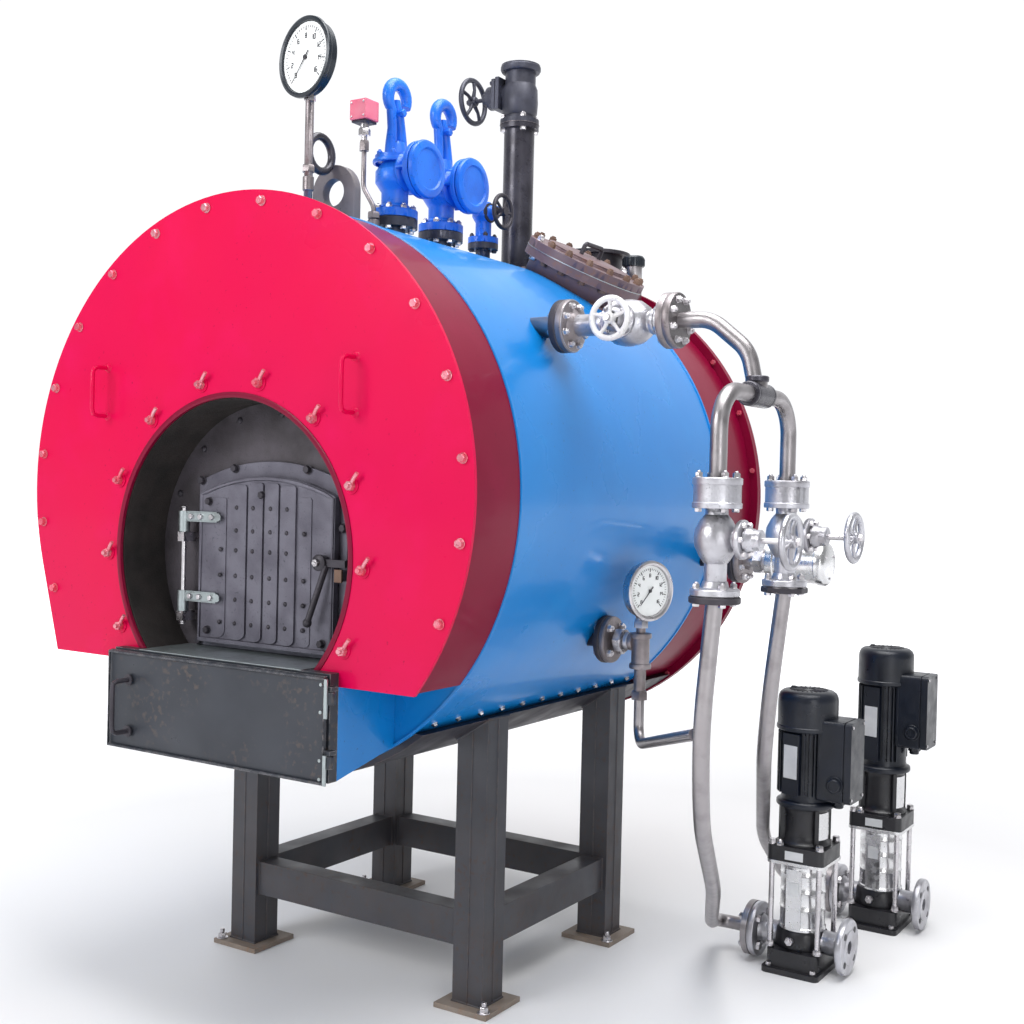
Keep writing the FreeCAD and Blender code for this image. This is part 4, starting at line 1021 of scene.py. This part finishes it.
def make_feed_details():
    y, z = 449, 1576
    joints = Shape(ZINC)
    for x in (562, 820):
        for angle in range(22, 382, 45):
            out = compass(BACK, UP, angle)
            joints.stud(4.2, at(x, y, z) + out * (45 * MM), RIGHT, 33, 13)
    joints.use(DARK_IRON).turn([(24, 0), (58, 0), (59, 3), (59, 14), (57, 16.5), (24, 16.5)], at(562, y, z), RIGHT, 64)
    joints.use(FLANGE_GREY).turn([(24, 0), (30, 0), (26, 12), (24, 16)], at(546, y, z), RIGHT, 40)
    joints.turn([(17, 0), (58, 0), (59, 3), (59, 13), (57, 16), (17, 16)], at(837, y, z), RIGHT, 64)
    joints.made("feed_joint_bolts", "boiler", "pipe_grey")
    body = Shape(FLANGE_GREY)
    body.turn([(23, 0), (58, 0), (59, 3), (59, 13), (56, 16), (36, 18), (28, 26), (23, 30)], at(579, y, z), RIGHT, 64)
    body.turn([(23, 0), (28, 4), (36, 12), (56, 14), (59, 17), (59, 27), (57, 30), (23, 30)], at(806, y, z), RIGHT, 64)
    body.use(CAST_SILVER)
    body.turn([(24, 0), (34, 6), (46, 24), (50, 44), (50, 60), (46, 80), (34, 98), (24, 104)],
              at(680, y, z), RIGHT, 56)
    body.turn([(20, 0), (38, 2), (40, 6), (40, 14), (20, 16)], at(732, y - 44, z), FRONT, 44)
    body.turn([(20, 0), (26, 2), (24, 14), (17, 20), (14, 20), (14, 0)], at(732, y - 60, z), FRONT, 36)
    for angle in range(45, 405, 90):
        out = compass(RIGHT, UP, angle)
        body.use(ZINC).stud(3.6, at(732, y - 44, z) + out * (31 * MM), FRONT, 16, 11)
    body.use(CAST_SILVER)
    for dx in (-62, 62):
        body.turn([(23, 0), (27, 1), (28, 6), (27, 11), (23, 12)], at(732 + dx - 6, y, z), RIGHT, 40)
    body.made("feed_valve_casting", "boiler", "cast_silver", bevel=0.6)
    low, high = ends("feed_wheel")
    wheel = Shape(WHITE)
    hub = at((low.x + high.x) / 2, low.y + 11, (low.z + high.z) / 2)
    spoked_rim(wheel, hub, FRONT, 42, 6.5)
    wheel.rod(12, 20, hub + BACK * (9 * MM), FRONT, 24, 2)
    wheel.use(ZINC).rod(6, 42, hub, BACK, 16)
    wheel.hexagon(14, 7, hub + FRONT * (11 * MM), FRONT, 5)
    wheel.made("white_handwheel", "feed_handwheel", "wheel_white", "feed_wheel")
    header_x = ends("column_valves")[0].x + 46
    columns = Shape(CAST_SILVER)
    bolts = Shape(ZINC)
    dark = Shape(DARK_IRON)
    for y, name in ((266, "front"), (632, "rear")):
        centre = at(header_x, y, 0)

        def up(height):
            return centre + UP * (height * MM)

        for angle in range(45, 405, 90):
            out = compass(RIGHT, BACK, angle)
            bolts.stud(4, up(1186) + out * (38 * MM), UP, 59, 13)
            bolts.stud(4, up(1005) + out * (38 * MM), UP, 27, 13)
        columns.turn([(20, 0), (47, 0), (48, 2), (48, 10), (46, 12), (20, 12)], up(1186), UP, 56)
        columns.turn([(20, 0), (37, 0), (38, 3), (38, 19), (37, 22), (20, 22)], up(1201), UP, 48)
        columns.turn([(17, 0), (47, 0), (48, 2), (48, 12), (46, 14), (20, 14), (18, 22), (17, 22)], up(1231), UP, 56)
        columns.turn([(20, 0), (46, 0), (48, 2), (48, 12), (46, 14), (28, 16), (24, 28), (20, 30)], up(1018), UP, 56)
        columns.turn([(20, 0), (24, 4), (32, 16), (41, 34), (43, 50), (41, 66), (32, 84), (24, 94), (20, 98)],
                     up(1078), UP, 48)
        hub = at(header_x, y, 1128)
        columns.turn([(18, 0), (36, 2), (38, 5), (38, 12), (36, 14), (18, 14)], hub + RIGHT * (46 * MM), RIGHT, 44)
        columns.turn([(18, 0), (24, 1), (22, 16), (17, 22), (13, 22), (13, 0)], hub + RIGHT * (60 * MM), RIGHT, 36)
        columns.hexagon(27, 10, hub + RIGHT * (83 * MM), RIGHT, 10)
        for angle in range(0, 360, 60):
            out = compass(BACK, UP, angle)
            bolts.hexagon(10, 6, hub + RIGHT * (60 * MM) + out * (31 * MM), RIGHT, angle)
        steps = 8 if name == "rear" else 56
        dark.turn([(18, 0), (48, 0), (50, 2), (50, 11), (48, 13), (18, 13)], up(1004), UP, steps, 22.5)
        low, high = ends(name + "_column_wheel")
        wheel = Shape(CAST_SILVER)
        wheel_hub = at(high.x - 11, y, (low.z + high.z) / 2)
        spoked_rim(wheel, wheel_hub, RIGHT, 48, 6.5)
        wheel.rod(12, 20, wheel_hub + LEFT * (9 * MM), RIGHT, 24, 2)
        wheel.use(ZINC).rod(6, 78, wheel_hub, LEFT, 16)
        wheel.hexagon(14, 7, wheel_hub + RIGHT * (11 * MM), RIGHT, 5)
        wheel.made(name + "_spoked_wheel", name + "_column_handwheel", "wheel_dark", name + "_column_wheel")
    columns.made("column_castings", "boiler", "cast_silver", bevel=0.5)
    bolts.made("column_bolts", "boiler", "cast_silver")
    dark.made("column_low_flanges", "boiler", "pipe_grey")
    tee = Shape(PIPE_BLACK)
    top = at(header_x, 449, 1416)
    tee.rod(25, 10, top + FRONT * (37 * MM), FRONT, 36, 2)
    tee.rod(25, 10, top + BACK * (37 * MM), BACK, 36, 2)
    tee.rod(25, 74, top + FRONT * (37 * MM), BACK, 36, 1)
    tee.rod(24, 12, top + UP * (26 * MM), UP, 36, 2)
    tee.made("header_tee", "boiler", "pipe_grey")


def make_side_details():
    y, z = 676, 862
    low = Shape(DARK_IRON)
    low.turn([(20, 0), (54, 0), (56, 3), (56, 12), (53, 14.5), (20, 14.5)], at(566, y, z), RIGHT, 56)
    low.use(FLANGE_GREY).turn([(16, 0), (54, 0), (55, 3), (55, 10), (52, 13), (16, 13)], at(581, y, z), RIGHT, 56)
    for angle in range(45, 405, 90):
        out = compass(BACK, UP, angle)
        low.use(ZINC).stud(4.5, at(566, y, z) + out * (41 * MM), RIGHT, 28, 15)
    low.use(CAST_SILVER).hexagon(52, 20, at(604, y, z), RIGHT, 8)
    low.rod(21, 14, at(624, y, z), RIGHT, 36, 3)
    low.use(FLANGE_GREY)
    low.turn([(20, 0), (25, 1), (26, 6), (25, 12), (20, 13)], at(664, y, 800), UP, 40)
    low.turn([(20, 0), (25, 1), (26, 6), (25, 12), (20, 13)], at(664, y, 871), UP, 40)
    low.turn([(14, 0), (21, 1), (22, 6), (21, 12), (14, 13)], at(649, y, z), LEFT, 36)
    low.hexagon(36, 20, at(664, y, 728), UP, 12)
    low.use(CAST_SILVER).hexagon(30, 18, at(664, y, 896), UP, 20)
    low.rod(13, 14, at(664, y, 914), UP, 24, 1)
    low.made("cock_and_unions", "boiler", "pipe_grey", bevel=0.4)
    swing = math.radians(70)
    facing = Vector((math.sin(swing), -math.cos(swing), 0))
    gauge = make_dial(at(663, y, 984), facing, 66, 30, ZINC)
    gauge.made("side_dial_gauge", "boiler", "gauge", "side_gauge")
    low, high = ends("level_nozzle")
    y, z = (low.y + high.y) / 2, (low.z + high.z) / 2
    joint = high.x
    level = Shape(DARK_IRON)
    level.turn([(22, 0), (58, 0), (60, 3), (60, 13), (57, 16.5), (22, 16.5)], at(joint - 16, y, z), RIGHT, 56)
    level.use(FLANGE_GREY).turn([(22, 0), (57, 0), (60, 3), (60, 13), (58, 16), (22, 16)], at(joint + 1, y, z), RIGHT, 56)
    for angle in range(22, 382, 45):
        out = compass(BACK, UP, angle)
        level.use(ZINC).stud(4.5, at(joint - 16, y, z) + out * (46 * MM), RIGHT, 33, 14)
    level.use(STAINLESS)
    level.turn([(0, 0), (50, 0), (54, 3), (54, 20), (51, 23), (51, 128), (55, 131), (55, 146), (51, 152), (42, 156),
                (0, 157)], at(joint + 84, y, z), RIGHT, 72)
    level.use(ZINC).hexagon(62, 22, at(joint + 46, y, z), RIGHT, 12)
    level.rod(24, 70, at(joint + 16, y, z), RIGHT, 36, 2)
    level.rod(12, 30, at(joint + 154, y, z - 48), DOWN, 24, 2)
    level.hexagon(26, 10, at(joint + 154, y, z - 60), DOWN, 24)
    for angle in range(30, 390, 120):
        out = compass(BACK, UP, angle)
        level.rod(3.5, 3, at(joint + 240, y, z) + out * (36 * MM), RIGHT, 12)
    level.made("level_housing", "boiler", "stainless", "level_switch")


# ------------------------------------------------------------------------------- pumps
def rounded(half_x, half_y, radius, steps=6):
    points = []
    for cx, cy, start in ((1, 1, 0), (-1, 1, 90), (-1, -1, 180), (1, -1, 270)):
        points += circle(radius, (cx * (half_x - radius), cy * (half_y - radius)), start, 90, steps)
    return points


def slab(shape, x, y, low, high, half_x, half_y, radius):
    """An upright block with rounded corners."""
    shape.extrude(rounded(half_x, half_y, radius), at(x, y, low), RIGHT, BACK, high - low)


def make_pump(name, x, y, stool_top, cowl_low):
    base = Shape(PUMP_BLACK)
    slab(base, x, y, 0, 14, 75, 94, 14)
    slab(base, x, y, 12, 58, 68, 80, 20)
    base.turn([(0, 0), (66, 0), (67, 6), (64, 40), (60, 46), (0, 46)], at(x, y, 58), UP, 64)
    for sx in (-1, 1):
        for sy in (-1, 1):
            base.use(PUMP_BLACK).rod(11, 4, at(x + sx * 58, y + sy * 80, 13), UP, 20)
            base.use(ZINC).hexagon(13, 8, at(x + sx * 58, y + sy * 80, 16), UP, 10)
    base.use(CAST_SILVER)
    for side, way in ((-1, LEFT), (1, RIGHT)):
        start = at(x + side * 58, y, 75)
        base.turn([(16, 0), (30, 0), (30, 34), (34, 40), (40, 48), (16, 48)], start, way, 40)
        base.turn([(16, 0), (68, 0), (70, 3), (70, 14), (68, 17), (44, 17), (42, 19), (24, 19), (16, 17)],
                  at(x + side * 108.5, y, 75), way, 72)
        for angle in range(45, 405, 90):
            out = compass(BACK, UP, angle)
            spot = at(x + side * 125, y, 75) + out * (50 * MM)
            if side < 0:
                base.use(ZINC).stud(5.5, spot - way * (17 * MM), way, 34, 18)
            else:
                base.use(INK).rod(8.6, 1.2, spot + way * (0.2 * MM), way, 20, 0.2)
            base.use(CAST_SILVER)
    base.use(INK).turn([(0, 0), (16.5, 0), (16.5, 2), (0, 2)], at(x + 112, y, 75), RIGHT, 28)
    base.use(ZINC).hexagon(20, 10, at(x - 8, y - 66, 82), FRONT, 8)
    base.rod(6, 5, at(x - 8, y - 76, 82), FRONT, 16)
    base.made(name + "_foot", "boiler", "pump_cast", *(("pump_bases",) if name == "front_pump" else ()), bevel=1.2)
    stages = Shape(STAINLESS)
    profile = [(0, 0), (58, 0), (60, 2), (60, 8), (57, 11), (57, 52), (58.5, 54), (57, 56), (57, 96), (58.5, 98),
               (57, 100), (57, 140), (58.5, 142), (57, 144), (57, 164), (60, 167), (60, 174), (58, 176), (0, 176)]
    stages.turn(profile, at(x, y, 104), UP, 80)
    for dx in (-62, 62):
        for dy in (-62, 62):
            stages.use(ZINC).rod(7, 224, at(x + dx, y + dy, 58), UP, 20)
            stages.rod(12, 3, at(x + dx, y + dy, 60), UP, 20, 0.6)
            stages.hexagon(19, 11, at(x + dx, y + dy, 63), UP, dx + dy)
    stages.use(STAINLESS).extrude([(-20, 0), (20, 0), (20, 150), (-20, 150)], at(x - 4, y - 54, 112), RIGHT, UP, 6)
    stages.use(PLATE).extrude([(-14, 0), (14, 0), (14, 34), (-14, 34)], at(x - 4, y - 60, 196), RIGHT, UP, 1.4)
    stages.made(name + "_stages", "boiler", "stainless", *(("pump_stages",) if name == "front_pump" else ()),
                bevel=0.5)
    head = Shape(PUMP_BLACK)
    slab(head, x, y, 280, 322, 74, 74, 16)
    head.use(STAINLESS)
    slab(head, x, y, 276, 284, 75.5, 75.5, 17)
    head.use(PUMP_BLACK)
    head.turn([(0, 0), (66, 0), (66, 6), (58, 14), (56, 30), (56, stool_top - 340), (60, stool_top - 328),
               (66, stool_top - 322), (0, stool_top - 322)], at(x, y, 322), UP, 64)
    for spin in range(45, 405, 90):
        way = Matrix.Rotation(math.radians(spin), 3, "Z")
        out = way @ RIGHT
        head.box(at(x, y, (322 + stool_top) / 2) + out * (57 * MM), (26, 11, stool_top - 324), way)
    for dx in (-62, 62):
        for dy in (-62, 62):
            head.use(ZINC).rod(11, 2.5, at(x + dx, y + dy, 322), UP, 20, 0.5)
            head.hexagon(18, 11, at(x + dx, y + dy, 324), UP, 2 * dx + dy)
    head.hexagon(17, 8, at(x - 40, y - 66, 322), UP, 9)
    head.rod(7, 16, at(x - 40, y - 66, 322), UP, 16, 2)
    head.use(STAINLESS)
    for side in (-58, 122):
        head.turn([(57, 0), (59.5, 0), (59.5, stool_top - 352), (57, stool_top - 352)],
                  at(x, y, 340), UP, 16, side - 22, 62)
    head.use(PLATE).extrude([(-24, 0), (24, 0), (24, 22), (-24, 22)], at(x, y - 74, 290), RIGHT, UP, 1.2)
    head.made(name + "_head", "boiler", "pump_cast", *(("pump_heads",) if name == "front_pump" else ()), bevel=1.5)
    motor = Shape(MOTOR_NAVY)
    motor.turn([(0, 0), (72, 0), (74, 3), (74, 11), (72, 14), (64, 18), (62, 26), (62, cowl_low - stool_top - 6),
                (66, cowl_low - stool_top), (0, cowl_low - stool_top)], at(x, y, stool_top), UP, 80)
    fin_low, fin_high = stool_top + 34, cowl_low - 6
    for i in range(36):
        angle = 10 * i + 5
        facing_box = abs((angle + 180) % 360 - 180) < 40
        facing_plate = abs(angle - 255) < 24
        if facing_box or facing_plate:
            continue
        way = Matrix.Rotation(math.radians(angle), 3, "Z")
        motor.box(at(x, y, (fin_low + fin_high) / 2) + way @ RIGHT * (67 * MM), (13, 2.6, fin_high - fin_low), way)
    tall = 101
    motor.turn([(0, 0), (76, 0), (78, 2), (78, 10), (76, 12), (76, 74), (75, 84), (71, 93), (64, 98.5), (52, tall),
                (0, tall)], at(x, y, cowl_low), UP, 80)
    for i in range(24):
        a = math.radians(15 * i)
        out = RIGHT * math.cos(a) + BACK * math.sin(a)
        motor.use(INK).sweep([at(x, y, cowl_low + tall + 0.4) + out * (16 * MM),
                              at(x, y, cowl_low + tall + 0.4) + out * (48 * MM)], 1.7, 6)
    motor.use(MOTOR_NAVY)
    plate_way = Matrix.Rotation(math.radians(255 - 270), 3, "Z")
    motor.box(at(x, y, (fin_low + fin_high) / 2) + plate_way @ FRONT * (66 * MM), (50, 10, fin_high - fin_low),
              plate_way)
    motor.use(PLATE).box(at(x, y, (fin_low + fin_high) / 2 + 6) + plate_way @ FRONT * (71.5 * MM), (40, 1.6, 84),
                         plate_way)
    box_low, box_high = cowl_low - 170, cowl_low + 34
    motor.use(MOTOR_NAVY)
    outline = rounded(52, (box_high - box_low) / 2, 10)
    middle = (box_low + box_high) / 2
    motor.extrude(outline, at(x + 46, y, middle), BACK, UP, 66)
    motor.extrude([(0.94 * a, 0.97 * b) for a, b in outline], at(x + 112, y, middle), BACK, UP, 3)
    motor.extrude(outline, at(x + 115, y, middle), BACK, UP, 17)
    for a in (-42, 42):
        for b in (-1, 1):
            motor.use(ZINC).rod(4, 3, at(x + 132, y + a, middle + b * ((box_high - box_low) / 2 - 11)), RIGHT, 12)
    motor.use(MOTOR_NAVY)
    gland = at(x + 92, y - 52, box_low + 46)
    motor.rod(22, 4, gland, FRONT, 32, 1)
    motor.turn([(0, 0), (18, 0), (18, 8), (15, 12), (12, 12), (12, 9), (0, 9)], gland + FRONT * (4 * MM), FRONT, 32)
    motor.rod(13, 22, at(x + 86, y, box_low), DOWN, 24, 2)
    motor.hexagon(30, 10, at(x + 86, y, box_low - 4), DOWN, 24)
    motor.rod(7, 10, at(x - 40, y, cowl_low + tall - 4), UP, 20, 2)
    motor.made(name + "_motor", "boiler", "motor_navy", *(("pump_motors",) if name == "front_pump" else ()),
               bevel=0.8)


make_feed_details()
make_side_details()
make_pump("front_pump", 895, 1176, 420, 615)
make_pump("rear_pump", 955, 1640, 440, 686)
for node_name, (node_finish, node_bevel) in {
    # belly_plate takes the near-black belly finish: painted shade under the shell.
    "boiler_shell": (BLUE, 0), "tube_plates": (BLUE, 0), "belly_plate": (BELLY_SHADE, 0),
    # front_wrapper takes the darker copy of the cover's red: painted shade.
    "front_wrapper": (SHADED_RED, 0), "ash_box": (BLUE, 1), "front_cover": (RED, 0),
    "furnace_tube": (SOOT, 0), "mouth_plate": (MOUTH_IRON, 0),
    "door_frame": (DOOR_IRON, 1.5), "fire_grate": (SOOT, 0),
    "fire_door_straps": (STRAP, 0), "fire_door_pin": (ZINC, 0), "fire_door_latch": (DARK_IRON, 0),
    "ash_frame": (ASH_STEEL, 1), "ash_door": (ASH_STEEL, 1),
    "rear_smokebox": (SHADED_RED, 0), "rear_cover": (SHADED_RED, 1), "legs": (STEEL_PRIMER, 3),
    "foot_plates": (BASE_RUST, 1), "cross_beams": (STEEL_PRIMER, 3), "lifting_lug": (LUG_GREY, 2),
    "instrument_pipes": (FLANGE_GREY, 0),
    "crown_nozzles": (VALVE_BLACK, 0), "safety_valve_bodies": (VALVE_BLUE, 0),
    "vent_valve": (VALVE_BLUE, 0), "vent_wheel": (DARK_IRON, 0), "steam_riser": (PIPE_BLACK, 0),
    "steam_valve": (VALVE_BLACK, 0), "manhole_ring": (BROWN_PRIMER, 0),
    "manhole_cover": (BROWN_PRIMER, 0), "flue_collar": (DARK_IRON, 0), "capped_nozzle": (PIPE_GREY, 0),
    "feed_nozzle": (PIPE_GREY, 0), "feed_valve": (CAST_SILVER, 0),
    "feed_header": (PIPE_GREY, 0), "column_valves": (CAST_SILVER, 0),
    "feed_pipes": (PIPE_GREY, 0), "branch_pipe": (PIPE_GREY, 0),
    "lower_nozzle": (DARK_IRON, 0), "gauge_tee": (FLANGE_GREY, 0),
    "level_nozzle": (DARK_IRON, 0),
}.items():
    carry(node_name, node_finish, node_bevel)
